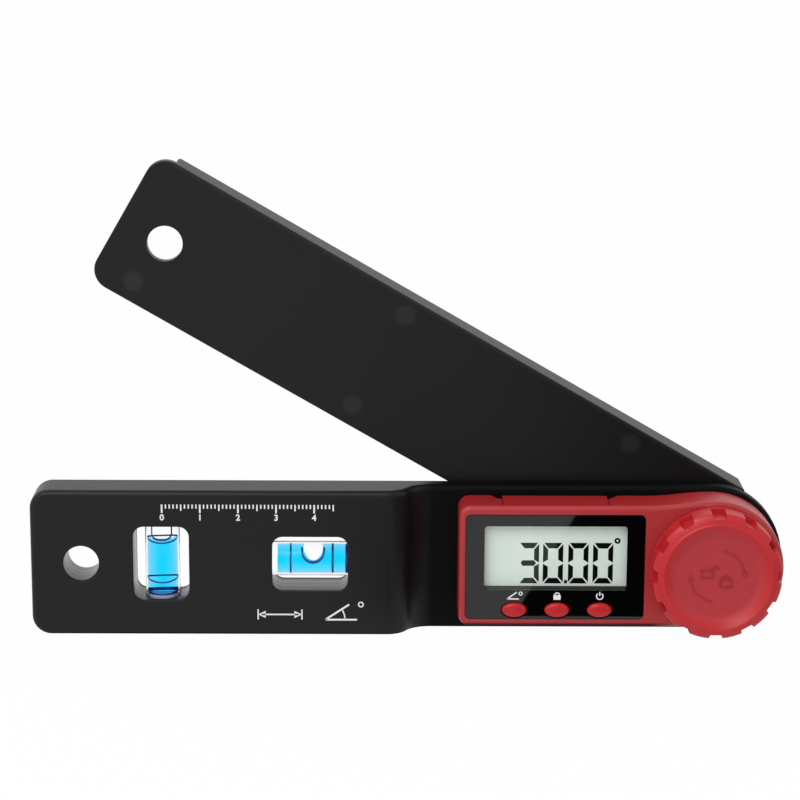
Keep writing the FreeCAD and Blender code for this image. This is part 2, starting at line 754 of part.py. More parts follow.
def main_board():
    body = cover_outline(COVER_WALL + 2 * SIDE_CLEAR, -BOARD_FRONT, -BOARD_DEPTH)
    body = body.cut(rod(0, 0, BUSH_FLANGE_R + SIDE_CLEAR, -COVER_FRONT, 0))
    for x, z in housing_screw_places():
        body = body.cut(rod(x, z, BOSS_R + SIDE_CLEAR, -COVER_FRONT, 0))
    for x, z in board_screw_places():
        body = body.cut(rod(x, z, SCREW_R * 0.8, -COVER_FRONT, 0))
    # The boss in the corner cuts off a sliver of board, which is left out.
    return max(body.Solids, key=lambda solid: solid.Volume)


def board_screws():
    short = SCREW_HEAD_R * 0.75
    screws = []
    for x, z in board_screw_places():
        head = rod(x, z, short, -BOARD_DEPTH, -BOARD_DEPTH + SCREW_HEAD_H)
        shank = rod(x, z, SCREW_R * 0.75, -BOARD_FRONT, -BOARD_DEPTH)
        slot = box(x - short, x + short, -BOARD_DEPTH + SCREW_HEAD_H / 2, 0, z - 0.2, z + 0.2)
        screws.append(head.fuse(shank).cut(slot))
    return Part.makeCompound(screws)


def controller_chip():
    """The drop of black resin over the bonded chip, on the board's back."""
    x = PANEL_X + PANEL_W - CHIP_INSET
    ball = (CHIP_R ** 2 + CHIP_RISE ** 2) / (2 * CHIP_RISE)
    drop = Part.makeSphere(ball, V(x, -BOARD_DEPTH + CHIP_RISE - ball, -CHIP_DROP))
    half = 2 * CHIP_R
    return drop.common(box(x - half, x + half, -BOARD_DEPTH, 0, -CHIP_DROP - half, -CHIP_DROP + half))


def board_components():
    """Crystal, capacitors and resistors on the board's back."""
    back = -BOARD_DEPTH
    parts = []
    left = -COVER_REACH + 2 * COVER_WALL
    low = LCD_Z + CHIP_PART_W
    for n in range(4):
        z = low + n * 2 * CHIP_PART_W
        parts.append(box(left, left + CHIP_PART_L, back, back + CHIP_PART_T, z, z + CHIP_PART_W))
    for n in range(5):
        x = BUTTON_XS[0] + (n - 1) * 2 * CHIP_PART_W
        z = BUTTON_Z + CHIP_PART_L
        parts.append(box(x, x + CHIP_PART_W, back, back + CHIP_PART_T, z, z + CHIP_PART_L))
    low += 8 * CHIP_PART_W
    parts.append(rounded(
        left, left + CRYSTAL_W, low, low + CRYSTAL_H,
        CRYSTAL_W / 4, back, back + CRYSTAL_T,
    ))
    return Part.makeCompound(parts)


def switch_top():
    """The plungers end just clear of a button pressed all the way."""
    return COVER_INSIDE - BUTTON_LIP_T - 2 * SHAFT_FIT - BUTTON_TRAVEL - SHAFT_FIT


def tact_switches():
    switches = []
    half = SWITCH_W / 2
    for x in BUTTON_XS:
        low = (switch_top() + BOARD_FRONT) / 2
        case = box(x - half, x + half, -low, -BOARD_FRONT, BUTTON_Z - half * 0.8, BUTTON_Z + half * 0.8)
        switches.append(case.fuse(rod(x, BUTTON_Z, half / 2, -switch_top(), -BOARD_FRONT)))
    return Part.makeCompound(switches)


def button(x):
    """An oval cap with a crowned face and a lip behind the housing's wall."""
    lip_front = COVER_INSIDE - 2 * SHAFT_FIT
    cap = oval(x, BUTTON_Z, BUTTON_W, BUTTON_H, -COVER_FRONT - BUTTON_PROUD, -lip_front)
    cap = cap.makeFillet(BUTTON_PROUD * 0.6, outer_edges(cap, -COVER_FRONT - BUTTON_PROUD))
    lip = oval(
        x, BUTTON_Z, BUTTON_W + 2 * BUTTON_LIP, BUTTON_H + 2 * BUTTON_LIP,
        -lip_front, -lip_front + BUTTON_LIP_T,
    )
    return cap.fuse(lip)


def housing_screws():
    length = TONGUE - SCREW_HEAD_H - ARM_GAP + SCREW_BITE - 0.5
    return Part.makeCompound([screw(x, z, -ARM_GAP, length) for x, z in housing_screw_places()])


# ---------------------------------------------------------------- battery
def battery_tray():
    """A tab that closes the slot, and under it a cradle open at the bottom."""
    half = tray_body_half()
    low = CELL_Z - CELL_R - CELL_FIT
    top = COVER_TOP - TRAY_TAB
    back, front = -TRAY_BACK, -TRAY_BACK - TRAY_T
    left = -TRAY_MID - TRAY_W / 2
    tab = box(left, left + TRAY_W, -TRAY_FRONT, -TONGUE - ARM_GAP, top, COVER_TOP)
    cradle = box(-TRAY_MID - half, -TRAY_MID + half, front, back, low, top)
    cell = rod(-TRAY_MID, CELL_Z, CELL_R + CELL_FIT, front - 1, back - TRAY_FLOOR)
    mouth = box(-TRAY_MID - 4, -TRAY_MID + 4, front - 1, back - TRAY_FLOOR, low - 1, CELL_Z)
    return without(tab.fuse(cradle), cell, mouth).removeSplitter()


def coin_cell():
    back = -TRAY_BACK - TRAY_FLOOR
    can = rod(-TRAY_MID, CELL_Z, CELL_R, back - CELL_T * 0.8, back)
    lid = rod(-TRAY_MID, CELL_Z, CELL_R - 1.2, back - CELL_T, back - CELL_T * 0.8)
    return can.fuse(lid)


def battery_contact_negative():
    """A leaf on the board that wipes the cell's lid."""
    lid = -TRAY_BACK - TRAY_FLOOR - CELL_T
    front, back = lid - SHAFT_FIT - CONTACT_T, lid - SHAFT_FIT
    low, high = CELL_Z - 1.5, CELL_Z + 1.5
    leaf = box(-TRAY_MID - 4, -TRAY_MID + 4, front, back, low, high)
    foot = box(-TRAY_MID - 4, -TRAY_MID - 3, -BOARD_DEPTH, back, low, high)
    return leaf.fuse(foot)


def battery_contact_positive():
    """A leaf under the cell that touches its rim through the cradle's mouth."""
    top = CELL_Z - CELL_R - SHAFT_FIT
    back = -TRAY_BACK - TRAY_FLOOR - 0.5
    leaf = box(-TRAY_MID - 2, -TRAY_MID + 2, -BOARD_DEPTH, back, top - CONTACT_T, top)
    foot = box(-TRAY_MID - 2, -TRAY_MID + 2, -BOARD_DEPTH, -BOARD_DEPTH + CONTACT_T, top - 2.5, top)
    return leaf.fuse(foot)


# ---------------------------------------------------------------- pivot
def pivot_bush():
    sleeve = rod(0, 0, BUSH_R, -TONGUE, ARM_GAP - WASHER_T)
    flange = rod(0, 0, BUSH_FLANGE_R, -TONGUE - BUSH_FLANGE, -TONGUE)
    return sleeve.fuse(flange).cut(rod(0, 0, SHAFT_R + SHAFT_FIT, -COVER_FRONT, 1))


def friction_washer():
    return ring(0, 0, WASHER_R, SHAFT_R + SHAFT_FIT, ARM_GAP - WASHER_T, ARM_GAP)


def pivot_bolt():
    head = rod(0, 0, BOLT_HEAD_R, PLATE_BACK, PLATE_BACK + BOLT_HEAD)
    head = head.makeFillet(BOLT_HEAD * 0.4, outer_edges(head, PLATE_BACK + BOLT_HEAD))
    neck = box(-NECK / 2, NECK / 2, ARM_GAP, PLATE_BACK, -NECK / 2, NECK / 2)
    journal = rod(0, 0, SHAFT_R, -TONGUE - BUSH_FLANGE, ARM_GAP)
    key = flatted(SHAFT_R, FLATS, -KEY_FRONT, -TONGUE - BUSH_FLANGE)
    thread = rod(0, 0, THREAD_R, -BOLT_END, -KEY_FRONT)
    return opened(joined([head, neck, journal, key, thread]))


def keyed_bore(y0, y1):
    return flatted(SHAFT_R + SHAFT_FIT, FLATS + 2 * SHAFT_FIT, y0, y1)


def rotor_hub():
    hub = rod(0, 0, HUB_R, -HUB_BACK - HUB_T / 3, -HUB_BACK)
    neck = rod(0, 0, HUB_R - 1.2, -HUB_FRONT, -HUB_BACK - HUB_T / 3)
    return opened(hub.fuse(neck).cut(keyed_bore(-HUB_FRONT - 1, -HUB_BACK + 1)))


def rotor_disc():
    """The encoder's moving disc, with a notch for each sensing pad."""
    front = -HUB_BACK - HUB_T / 3 - ROTOR_T
    disc = ring(0, 0, ROTOR_R, HUB_R - 1.2, front, front + ROTOR_T)
    for n in range(8):
        pad = box(-0.8, 0.8, front - 1, front + ROTOR_T + 1, ROTOR_R - 2, ROTOR_R + 1)
        pad.rotate(V(0, 0, 0), V(0, 1, 0), n * 45)
        disc = disc.cut(pad)
    return opened(disc)


def keyed_washer():
    washer = rod(0, 0, KEY_WASHER_R, -KEY_FRONT, -KEY_BACK)
    return opened(washer.cut(keyed_bore(-KEY_FRONT - 1, -KEY_BACK + 1)))


def pivot_cap():
    """The moulded cap over the bolt's head."""
    top = PLATE_BACK + CAP_H
    outer = rod(0, 0, CAP_R, PLATE_BACK, top)
    outer = outer.makeFillet(CAP_WALL * 1.4, outer_edges(outer, top))
    return opened(outer.cut(rod(0, 0, CAP_R - CAP_WALL, PLATE_BACK - 1, top - CAP_WALL)))


def stop_pin():
    """The pin that ends the swing, headed behind the upper arm's plate."""
    pin = rod(-STOP_REACH, 0, STOP_R, -STOP_DEPTH, PLATE_BACK)
    head = rod(-STOP_REACH, 0, STOP_R + 0.3, PLATE_BACK, PLATE_BACK + 0.8)
    whole = pin.fuse(head)
    whole.rotate(V(0, 0, 0), V(0, 1, 0), STOP_START)
    return opened(whole)


# ---------------------------------------------------------------- upper arm
def upper_arm():
    """The plate, and along its outer edge the flange that is its working face."""
    tip = -ARM_REACH
    body = box(tip, 0, ARM_GAP, PLATE_BACK, -UPPER_INNER, HALF_WIDTH)
    corners = [
        e for e in body.Edges
        if abs(e.tangentAt(e.FirstParameter).y) > 0.9 and e.BoundBox.XMax < tip + 1
    ]
    body = body.makeFillet(TIP_R, corners)
    body = body.fuse(rod(0, 0, UPPER_END_R, ARM_GAP, PLATE_BACK))
    flange = box(
        tip + TIP_R, 0, ARM_GAP, ARM_GAP + FLANGE_DEPTH,
        HALF_WIDTH - FLANGE_WALL, HALF_WIDTH,
    )
    body = body.fuse(flange).removeSplitter()
    ends = [
        e for e in body.Edges
        if e.BoundBox.ZMin > HALF_WIDTH - 1e-4 and e.BoundBox.YMax > PLATE_BACK + 1
        and e.BoundBox.XMax - e.BoundBox.XMin < 1e-4
    ]
    body = body.makeFillet(FLANGE_END_R, ends)
    rim = [
        e for e in outer_edges(body, ARM_GAP)
        if e.BoundBox.XMax < 1 or e.BoundBox.XMin > -UPPER_END_R - 1
    ]
    body = body.makeFillet(BACK_EDGE_R, rim)
    for reach in PAD_REACHES:
        for side in (PAD_INNER - UPPER_INNER, HALF_WIDTH - PAD_OUTER):
            body = body.fuse(rod(-reach, side, PAD_R, PLATE_BACK - 0.1, PLATE_BACK + PAD_H))
    body = body.cut(rod(-HANG_REACH, 0, HANG_R, -1, PLATE_BACK + 1))
    neck = NECK / 2 + SHAFT_FIT
    body = body.cut(box(-neck, neck, -1, PLATE_BACK + 1, -neck, neck))
    hole = rod(-STOP_REACH, 0, STOP_R, -1, PLATE_BACK + 1)
    hole.rotate(V(0, 0, 0), V(0, 1, 0), STOP_START)
    return opened(body.cut(hole))


# ---------------------------------------------------------------- knob
def knob_profile():
    b, f = -KNOB_BACK, -KNOB_FRONT
    return [
        (0, -DISH_FLOOR),
        (0, -BOLT_END),
        (INSERT_R, -BOLT_END),
        (INSERT_R, -CORE_BACK),
        (KNOB_CORE_R, -CORE_BACK),
        (KNOB_CORE_R, -DISH_FLOOR + KNOB_SKIN),
        (KNOB_DISH_R + KNOB_SKIN, -DISH_FLOOR + KNOB_SKIN),
        (KNOB_SHOULDER_R - KNOB_SKIN - GRIP_DEPTH, b - KNOB_SHOULDER + KNOB_SKIN),
        (KNOB_SHOULDER_R - KNOB_SKIN - GRIP_DEPTH, b),
        (KNOB_R, b),
        (KNOB_R, b - KNOB_FLANGE),
        (KNOB_SKIRT_R, b - KNOB_FLANGE),
        (KNOB_SHOULDER_R, b - KNOB_SHOULDER),
        (KNOB_RIM_R + 0.2, f + 0.2),
        (KNOB_RIM_R - 0.1, f),
        (KNOB_RIM_R - 0.5, f + 0.2),
        (KNOB_DISH_R, -DISH_FLOOR),
    ]


def lock_knob():
    knob = turned(knob_profile())
    start, end = KNOB_BACK + KNOB_FLANGE, KNOB_BACK + KNOB_SHOULDER + 1
    for n in range(KNOB_GRIPS):
        grip = box(
            -GRIP_W / 2, GRIP_W / 2, -end, -start,
            KNOB_SKIRT_R - GRIP_DEPTH, KNOB_SKIRT_R + 2,
        )
        grip.rotate(V(0, 0, 0), V(0, 1, 0), n * 360.0 / KNOB_GRIPS)
        knob = knob.cut(grip)
    return knob


def knob_insert():
    """The threaded brass insert moulded into the knob."""
    return ring(0, 0, INSERT_R, THREAD_R + SHAFT_FIT, -BOLT_END, -INSERT_BACK)


def main():
    os.makedirs("parts", exist_ok=True)
    save("lower_arm_shell", lower_arm_shell())
    save("lower_arm_back_plate", lower_arm_back_plate())
    save("back_plate_screws", back_plate_screws())
    save("plumb_vial", vial_tube(PLUMB_REACH, True))
    save("plumb_vial_liquid", plumb_vial_liquid())
    save("level_vial", vial_tube(LEVEL_REACH, False))
    save("level_vial_liquid", level_vial_liquid())
    save("vial_end_plugs", vial_end_plugs())
    save("vial_saddles", vial_saddles())
    save("display_cover", display_cover())
    save("face_plate", face_plate())
    save("display_lens", display_lens())
    save("lcd_glass", lcd_glass())
    save("lcd_bezel", lcd_bezel())
    save("zebra_strips", zebra_strips())
    save("main_board", main_board())
    save("board_screws", board_screws())
    save("controller_chip", controller_chip())
    save("board_components", board_components())
    save("tact_switches", tact_switches())
    save("housing_screws", housing_screws())
    for name, x in zip(("button_mode", "button_hold", "button_power"), BUTTON_XS):
        save(name, button(x))
    save("battery_tray", battery_tray())
    save("coin_cell", coin_cell())
    save("battery_contact_negative", battery_contact_negative())
    save("battery_contact_positive", battery_contact_positive())
    save("pivot_bush", pivot_bush())
    save("friction_washer", friction_washer())
    save("pivot_bolt", pivot_bolt())
    save("rotor_hub", rotor_hub())
    save("rotor_disc", rotor_disc())
    save("keyed_washer", keyed_washer())
    save("pivot_cap", pivot_cap())
    save("stop_pin", stop_pin())
    save("upper_arm", upper_arm())
    save("lock_knob", lock_knob())
    save("knob_insert", knob_insert())


main()
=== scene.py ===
"""The looks of a digital angle finder with two arms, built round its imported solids."""

import json
import math

import bmesh
import bpy
from mathutils import Matrix, Vector


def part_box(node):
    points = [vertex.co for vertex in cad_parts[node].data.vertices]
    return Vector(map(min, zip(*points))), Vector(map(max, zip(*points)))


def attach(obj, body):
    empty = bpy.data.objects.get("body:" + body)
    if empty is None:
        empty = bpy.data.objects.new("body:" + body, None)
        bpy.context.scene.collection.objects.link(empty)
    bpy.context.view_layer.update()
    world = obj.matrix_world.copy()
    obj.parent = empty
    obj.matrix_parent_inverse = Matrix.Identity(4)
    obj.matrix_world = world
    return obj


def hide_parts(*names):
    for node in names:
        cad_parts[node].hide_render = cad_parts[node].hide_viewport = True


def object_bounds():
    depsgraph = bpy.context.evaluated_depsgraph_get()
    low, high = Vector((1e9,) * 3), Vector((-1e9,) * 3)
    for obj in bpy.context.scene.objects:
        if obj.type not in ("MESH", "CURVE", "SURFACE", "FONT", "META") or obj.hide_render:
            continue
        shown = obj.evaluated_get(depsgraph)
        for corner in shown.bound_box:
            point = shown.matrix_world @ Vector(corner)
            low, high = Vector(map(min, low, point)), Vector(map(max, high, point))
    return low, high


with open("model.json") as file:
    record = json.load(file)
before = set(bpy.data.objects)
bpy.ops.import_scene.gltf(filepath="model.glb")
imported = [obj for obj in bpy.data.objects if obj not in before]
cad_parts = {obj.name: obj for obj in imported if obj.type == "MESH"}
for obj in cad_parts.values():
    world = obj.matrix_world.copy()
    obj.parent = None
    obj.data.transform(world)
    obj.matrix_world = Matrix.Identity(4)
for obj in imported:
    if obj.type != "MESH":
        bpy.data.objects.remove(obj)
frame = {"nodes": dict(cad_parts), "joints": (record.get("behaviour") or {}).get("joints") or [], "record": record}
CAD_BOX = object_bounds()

bl_info = {
    "name": "Angle finder",
    "version": (1, 0, 0),
    "blender": (4, 5, 0),
    "location": "View3D > Sidebar > Angle finder",
    "description": "Builds the visible pieces of a digital angle finder with two arms",
    "category": "Object",
}

MM = 0.001
SAME_PLACE = 0.0001 * MM
NODES = frame["nodes"]
JOINTS = {joint["name"]: joint for joint in frame["joints"]}
PIVOT = Vector(JOINTS["arm_swing"]["pos_m"])
REST_ANGLE = -math.radians(JOINTS["arm_swing"]["range_deg"][0])
# how far faces turn where an edge stays sharp, and the degrees of an arc from point to point
SHARP = math.radians(32)
ARC_STEP = 7.5
FACING_FRONT = Matrix.Rotation(math.radians(90), 4, "X")
LYING = Matrix.Rotation(math.radians(90), 4, "Y")


# ---- colours and nodes
def linear(colour):
    """An sRGB hex colour as linear red, green, blue and alpha."""
    parts = [int(colour[n:n + 2], 16) / 255 for n in (1, 3, 5)]
    return (*(p / 12.92 if p <= 0.04045 else ((p + 0.055) / 1.055) ** 2.4 for p in parts), 1.0)


def add_node(tree, kind, inputs=None, **settings):
    """Adds a node, makes its settings, and sets or links its inputs.

    A node that is given as an input stands for its first output.
    """
    node = tree.nodes.new("ShaderNode" + kind)
    for name, value in settings.items():
        setattr(node, name, value)
    for socket, value in (inputs or {}).items():
        if isinstance(value, bpy.types.Node):
            value = value.outputs[0]
        if isinstance(value, bpy.types.NodeSocket):
            tree.links.new(value, node.inputs[socket])
        else:
            node.inputs[socket].default_value = value
    return node


def new_material(name):
    material = bpy.data.materials.new(name)
    material.use_nodes = True
    material.node_tree.nodes.clear()
    return material, material.node_tree


def finish_surface(name, dark, light, patch, rough, grain, height, zones=(), **shader):
    """A principled surface that varies a little, as a real one does.

    dark and light are hex colours mixed in clouds `patch` mm wide. rough gives the
    lowest and highest roughness, and grain `grain` mm wide stands `height` mm up.
    Each zone is a place with another finish: what marks it, its hex colour, its
    roughness and its specular level. The shader's own sockets take the rest.
    """
    material, tree = new_material(name)
    place = add_node(tree, "TexCoord").outputs["Object"]
    clouds = add_node(
        tree, "TexNoise", {"Vector": place, "Scale": 1 / (patch * MM), "Detail": 3.0}
    )
    colour = add_node(
        tree, "Mix", {0: clouds, 6: linear(dark), 7: linear(light)},
        data_type="RGBA",
    ).outputs[2]
    speckle = add_node(
        tree, "TexNoise", {"Vector": place, "Scale": 1 / (grain * MM), "Detail": 2.0}
    )
    # nearly all of the noise lies between 0.3 and 0.7
    roughness = add_node(
        tree, "MapRange", {0: speckle, 1: 0.3, 2: 0.7, 3: rough[0], 4: rough[1]}
    )
    bump = add_node(tree, "Bump", {"Height": speckle, "Distance": height * MM})
    level, share = shader.pop("Specular_IOR_Level", 0.5), 1.0
    for marked, tint, smooth, shine in zones:
        mark = marked(tree, place)
        colour = add_node(
            tree, "Mix", {0: mark, 6: colour, 7: linear(tint)}, data_type="RGBA"
        ).outputs[2]
        roughness = add_node(tree, "MapRange", {0: mark, 3: roughness, 4: smooth})
        share = add_node(tree, "MapRange", {0: mark, 3: share, 4: shine / level})
    if zones:
        # a plain number times a share: the number holds by itself where nodes are left out
        level = add_node(tree, "Math", {0: level, 1: share}, operation="MULTIPLY")
    principled = add_node(
        tree, "BsdfPrincipled",
        {
            "Base Color": colour,
            "Roughness": roughness,
            "Normal": bump,
            "Specular IOR Level": level,
            **{socket.replace("_", " "): value for socket, value in shader.items()},
        },
    )
    add_node(tree, "OutputMaterial", {"Surface": principled})
    return material


def dress(material, *names):
    """Gives CAD nodes a material."""
    for name in names:
        for slot in NODES[name].material_slots:
            slot.material = material


# ---- shapes
def spun(points, rounds=(), steps=96):
    """Turns (radius, height) points in mm about Z, some of their corners rounded."""
    shape = bmesh.new()
    corners = [shape.verts.new((r * MM, 0, h * MM)) for r, h in points]
    for a, b in zip(corners, corners[1:]):
        shape.edges.new((a, b))
    for radius, numbers in rounds:
        bmesh.ops.bevel(
            shape, geom=[corners[n] for n in numbers], offset=radius * MM,
            offset_type="OFFSET", segments=4, profile=0.5, affect="VERTICES", material=-1,
        )
    bmesh.ops.spin(
        shape, geom=shape.verts[:] + shape.edges[:], cent=(0, 0, 0), axis=(0, 0, 1),
        dvec=(0, 0, 0), angle=math.tau, steps=steps, use_merge=True, use_duplicate=False,
    )
    bmesh.ops.remove_doubles(shape, verts=shape.verts, dist=SAME_PLACE)
    return shape


def add_object(name, data):
    """A new object in the scene."""
    made = bpy.data.objects.new(name, data)
    bpy.context.scene.collection.objects.link(made)
    return made


def new_object(name, shape, material=None, place=None):
    """Turns a shape into an object, its mesh moved by place."""
    mesh = bpy.data.meshes.new(name)
    shape.to_mesh(mesh)
    shape.free()
    if place:
        mesh.transform(place)
    if material:
        mesh.materials.append(material)
    return add_object(name, mesh)


def final_mesh(holder):
    """A new mesh of what an object shows, its modifiers applied."""
    bpy.context.view_layer.update()
    graph = bpy.context.evaluated_depsgraph_get()
    return bpy.data.meshes.new_from_object(holder.evaluated_get(graph))


def cut_shape(shape, tool, how="DIFFERENCE"):
    """One shape cut with another, or what they share. Both are used up."""
    for part in (shape, tool):
        bmesh.ops.recalc_face_normals(part, faces=part.faces)
    body, cutter = new_object("body", shape), new_object("cutter", tool)
    cut = body.modifiers.new("cut", "BOOLEAN")
    cut.operation, cut.solver, cut.object = how, "EXACT", cutter
    mesh = final_mesh(body)
    result = bmesh.new()
    result.from_mesh(mesh)
    for holder in (body, cutter):
        bpy.data.objects.remove(holder)
    bpy.data.meshes.remove(mesh)
    return result


def raise_faces(shape, faces, height):
    """Draws flat faces out by a height in mm along -Y, as ink, relief or a prism."""
    grown = bmesh.ops.extrude_face_region(shape, geom=faces, use_keep_orig=True)
    verts = [g for g in grown["geom"] if isinstance(g, bmesh.types.BMVert)]
    bmesh.ops.translate(shape, verts=verts, vec=(0, -height * MM, 0))


def draw_polygon(shape, points, height):
    """A flat polygon of (x, z) points in mm, drawn out towards the front."""
    face = shape.faces.new([shape.verts.new((x * MM, 0, z * MM)) for x, z in points])
    raise_faces(shape, [face], height)


def draw_box(shape, low, high, height):
    """A rectangle between two (x, z) corners in mm."""
    (x, z), (right, top) = low, high
    draw_polygon(shape, [(x, z), (right, z), (right, top), (x, top)], height)


def draw_bar(shape, start, end, width, height):
    """A straight bar between two (x, z) points in mm."""
    a, b = Vector(start), Vector(end)
    side = (b - a).normalized().orthogonal() * width / 2
    draw_polygon(shape, [tuple(p) for p in (a - side, b - side, b + side, a + side)], height)


def draw_arc(shape, centre, radius, width, start, end, height):
    """A band along an arc from start to end degrees, counted from +X towards +Z."""
    old = set(shape.faces)
    x, z = centre
    ends = [
        shape.verts.new((
            (x + r * math.cos(math.radians(start))) * MM, 0,
            (z + r * math.sin(math.radians(start))) * MM,
        ))
        for r in (radius - width / 2, radius + width / 2)
    ]
    edge = shape.edges.new(ends)
    sweep = abs(end - start)
    bmesh.ops.spin(
        shape, geom=[*ends, edge], cent=(x * MM, 0, z * MM), axis=(0, -1, 0),
        dvec=(0, 0, 0), angle=math.radians(end - start),
        steps=max(6, round(sweep / ARC_STEP)), use_merge=sweep >= 360, use_duplicate=False,
    )
    raise_faces(shape, [f for f in shape.faces if f not in old], height)


def draw_arrow_head(shape, tip, toward, size, height):
    """A triangle whose point is at tip, facing `toward` degrees."""
    way = Vector((math.cos(math.radians(toward)), math.sin(math.radians(toward))))
    side = way.orthogonal() * size * 0.5
    back = Vector(tip) - way * size
    draw_polygon(shape, [tip, tuple(back + side), tuple(back - side)], height)


def draw_text(shape, words, middle, size, height):
    """Plain figures, centred on an (x, z) point in mm."""
    curve = bpy.data.curves.new("figures", "FONT")
    curve.body, curve.size = words, size * MM
    curve.align_x = curve.align_y = "CENTER"
    curve.offset = 0.06 * MM  # thickens the strokes
    curve.resolution_u = 4
    holder = add_object("figures", curve)
    mesh = final_mesh(holder)
    mesh.transform(Matrix.Translation((middle[0] * MM, 0, middle[1] * MM)) @ FACING_FRONT)
    old = set(shape.faces)
    shape.from_mesh(mesh)
    raise_faces(shape, [f for f in shape.faces if f not in old], height)
    bpy.data.objects.remove(holder)
    bpy.data.curves.remove(curve)
    bpy.data.meshes.remove(mesh)


def make_piece(
    name, shape, material, body, place=None, replaces=(), edge=None, sharp=SHARP
):
    """Makes a shape an object that rides on a body.

    place moves it from where it was drawn, and edge rounds its sharp edges, in mm.
    """
    bmesh.ops.remove_doubles(shape, verts=shape.verts, dist=SAME_PLACE)
    bmesh.ops.recalc_face_normals(shape, faces=shape.faces)
    for face in shape.faces:
        face.smooth = True
    piece = new_object(name, shape, material, place)
    piece.data.set_sharp_from_angle(angle=sharp)
    if edge:
        rounding = piece.modifiers.new("rounded_edges", "BEVEL")
        rounding.width = edge * MM
        rounding.segments = 2
        rounding.limit_method = "ANGLE"
        rounding.angle_limit = sharp
        rounding.harden_normals = True
    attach(piece, body)
    if replaces:
        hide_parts(*replaces)
    return piece


def on_upper_arm(along, across, y):
    """A point on the upper arm as it rests: mm from the pivot, mm above its middle, y in m."""
    x = -along * math.cos(REST_ANGLE) + across * math.sin(REST_ANGLE)
    z = along * math.sin(REST_ANGLE) + across * math.cos(REST_ANGLE)
    return Vector((x * MM, y, PIVOT.z + z * MM))


def front_of(node, x=0.0, z=0.0):
    """Moves a drawing to a node's front face, its own zero at (x, z) mm from the pivot."""
    return Matrix.Translation((x * MM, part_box(node)[0].y, PIVOT.z + z * MM))


# ---- lower arm
# each opening: its middle, its width and height in mm, and how square it is, 2 being round
OPENINGS = (
    ("plumb_vial", 14.7, 20.0, 40), ("level_vial", 20.0, 14.7, 40),
    ("lower_hang_hole", 9.4, 9.4, 2),
)
# how far an opening's rounded rim reaches out, how far apart the mould's steps are, and
# between which places along the arm the ramp gives way to the tongue, in mm
OPENING_ROUND = 0.35
MOULD_STEP = 3.1
RAMP_END = -78, -74


class ArmSettings(bpy.types.PropertyGroup):
    dark: bpy.props.StringProperty(
        name="Darker plastic", description="sRGB hex colour of the arms", default="#0f0f10"
    )
    light: bpy.props.StringProperty(
        name="Lighter plastic", description="sRGB hex colour of the arms", default="#141415"
    )
    ink: bpy.props.StringProperty(
        name="Ink", description="sRGB hex colour of the printed marks", default="#f2f2f2"
    )
    ink_height: bpy.props.FloatProperty(
        name="Ink thickness", description="Thickness of the printed marks, in mm", default=0.03
    )
    scale_length: bpy.props.IntProperty(
        name="Scale length", description="Length of the printed scale, in mm", default=45
    )


def opening_walls(tree, place):
    """Marks the smooth walls of the vial windows and of the hang hole.

    Fine steps of the mould cross the walls at a few depths, and the mark fades towards
    the front, where the walls are duller.
    """
    mounts = {mount["name"]: mount for mount in frame["record"]["mounts"]}
    inside = 0.0
    for name, wide, tall, power in OPENINGS:
        if name in NODES:
            low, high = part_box(name)
            middle = (low + high) / 2
        else:
            middle = mounts[name]["pos_m"]
        away = add_node(tree, "VectorMath", {0: place, 1: tuple(middle)}, operation="SUBTRACT")
        half = ((wide / 2 + OPENING_ROUND) * MM, 1.0, (tall / 2 + OPENING_ROUND) * MM)
        share = add_node(tree, "VectorMath", {0: away, 1: half}, operation="DIVIDE")
        size = add_node(tree, "VectorMath", {0: share}, operation="ABSOLUTE")
        parts = add_node(tree, "SeparateXYZ", {0: size}).outputs
        powers = [
            add_node(tree, "Math", {0: parts[n], 1: power}, operation="POWER")
            for n in (0, 2)
        ]
        total = add_node(tree, "Math", {0: powers[0], 1: powers[1]})
        mark = add_node(tree, "Math", {0: total, 1: 1.0}, operation="LESS_THAN")
        inside = add_node(tree, "Math", {0: inside, 1: mark}, operation="MAXIMUM")
    depth = add_node(tree, "SeparateXYZ", {0: place}).outputs["Y"]
    step = add_node(tree, "Math", {0: depth, 1: MOULD_STEP * MM, 2: 0.0}, operation="WRAP")
    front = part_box("lower_arm_shell")[0].y
    # the steps, the rim that the mark leaves out, and the fade towards the front
    for source, low, high, least, most in (
        (step, 0.25 * MM, 0.6 * MM, 0.35, 1.0),
        (depth, front + 0.35 * MM, front + 0.7 * MM, 0.0, 1.0),
        (depth, front + 1.0 * MM, front + 9.0 * MM, 0.3, 1.0),
    ):
        share = add_node(tree, "MapRange", {0: source, 1: low, 2: high, 3: least, 4: most})
        inside = add_node(tree, "Math", {0: inside, 1: share}, operation="MULTIPLY")
    return inside


def tongue_face(tree, place):
    """Marks the thin part of the lower arm, right of the ramp."""
    along = add_node(tree, "SeparateXYZ", {0: place}).outputs["X"]
    start, full = RAMP_END
    return add_node(tree, "MapRange", {0: along, 1: start * MM, 2: full * MM})


def low_edge(top, bottom, right=30, fade=6):
    """Marks what lies low, from one height to another, and left of a distance, in mm."""
    def marked(tree, place):
        parts = add_node(tree, "SeparateXYZ", {0: place}).outputs
        low = add_node(tree, "MapRange", {0: parts["Z"], 1: top * MM, 2: bottom * MM})
        left = add_node(
            tree, "MapRange", {0: parts["X"], 1: right * MM, 2: (right - fade) * MM}
        )
        return add_node(tree, "Math", {0: low, 1: left}, operation="MULTIPLY")
    return marked


def black_abs(settings, name="black_moulded_abs", zones=()):
    # moulded ABS from a spark-eroded mould: a fine matt grain with a soft sheen at a slant;
    # the real grain of 0.1 mm is drawn 0.35 mm wide, so that it shows
    return finish_surface(
        name, settings.dark, settings.light, 30, (0.34, 0.44), 0.35, 0.005, zones,
        Specular_IOR_Level=0.23,
    )


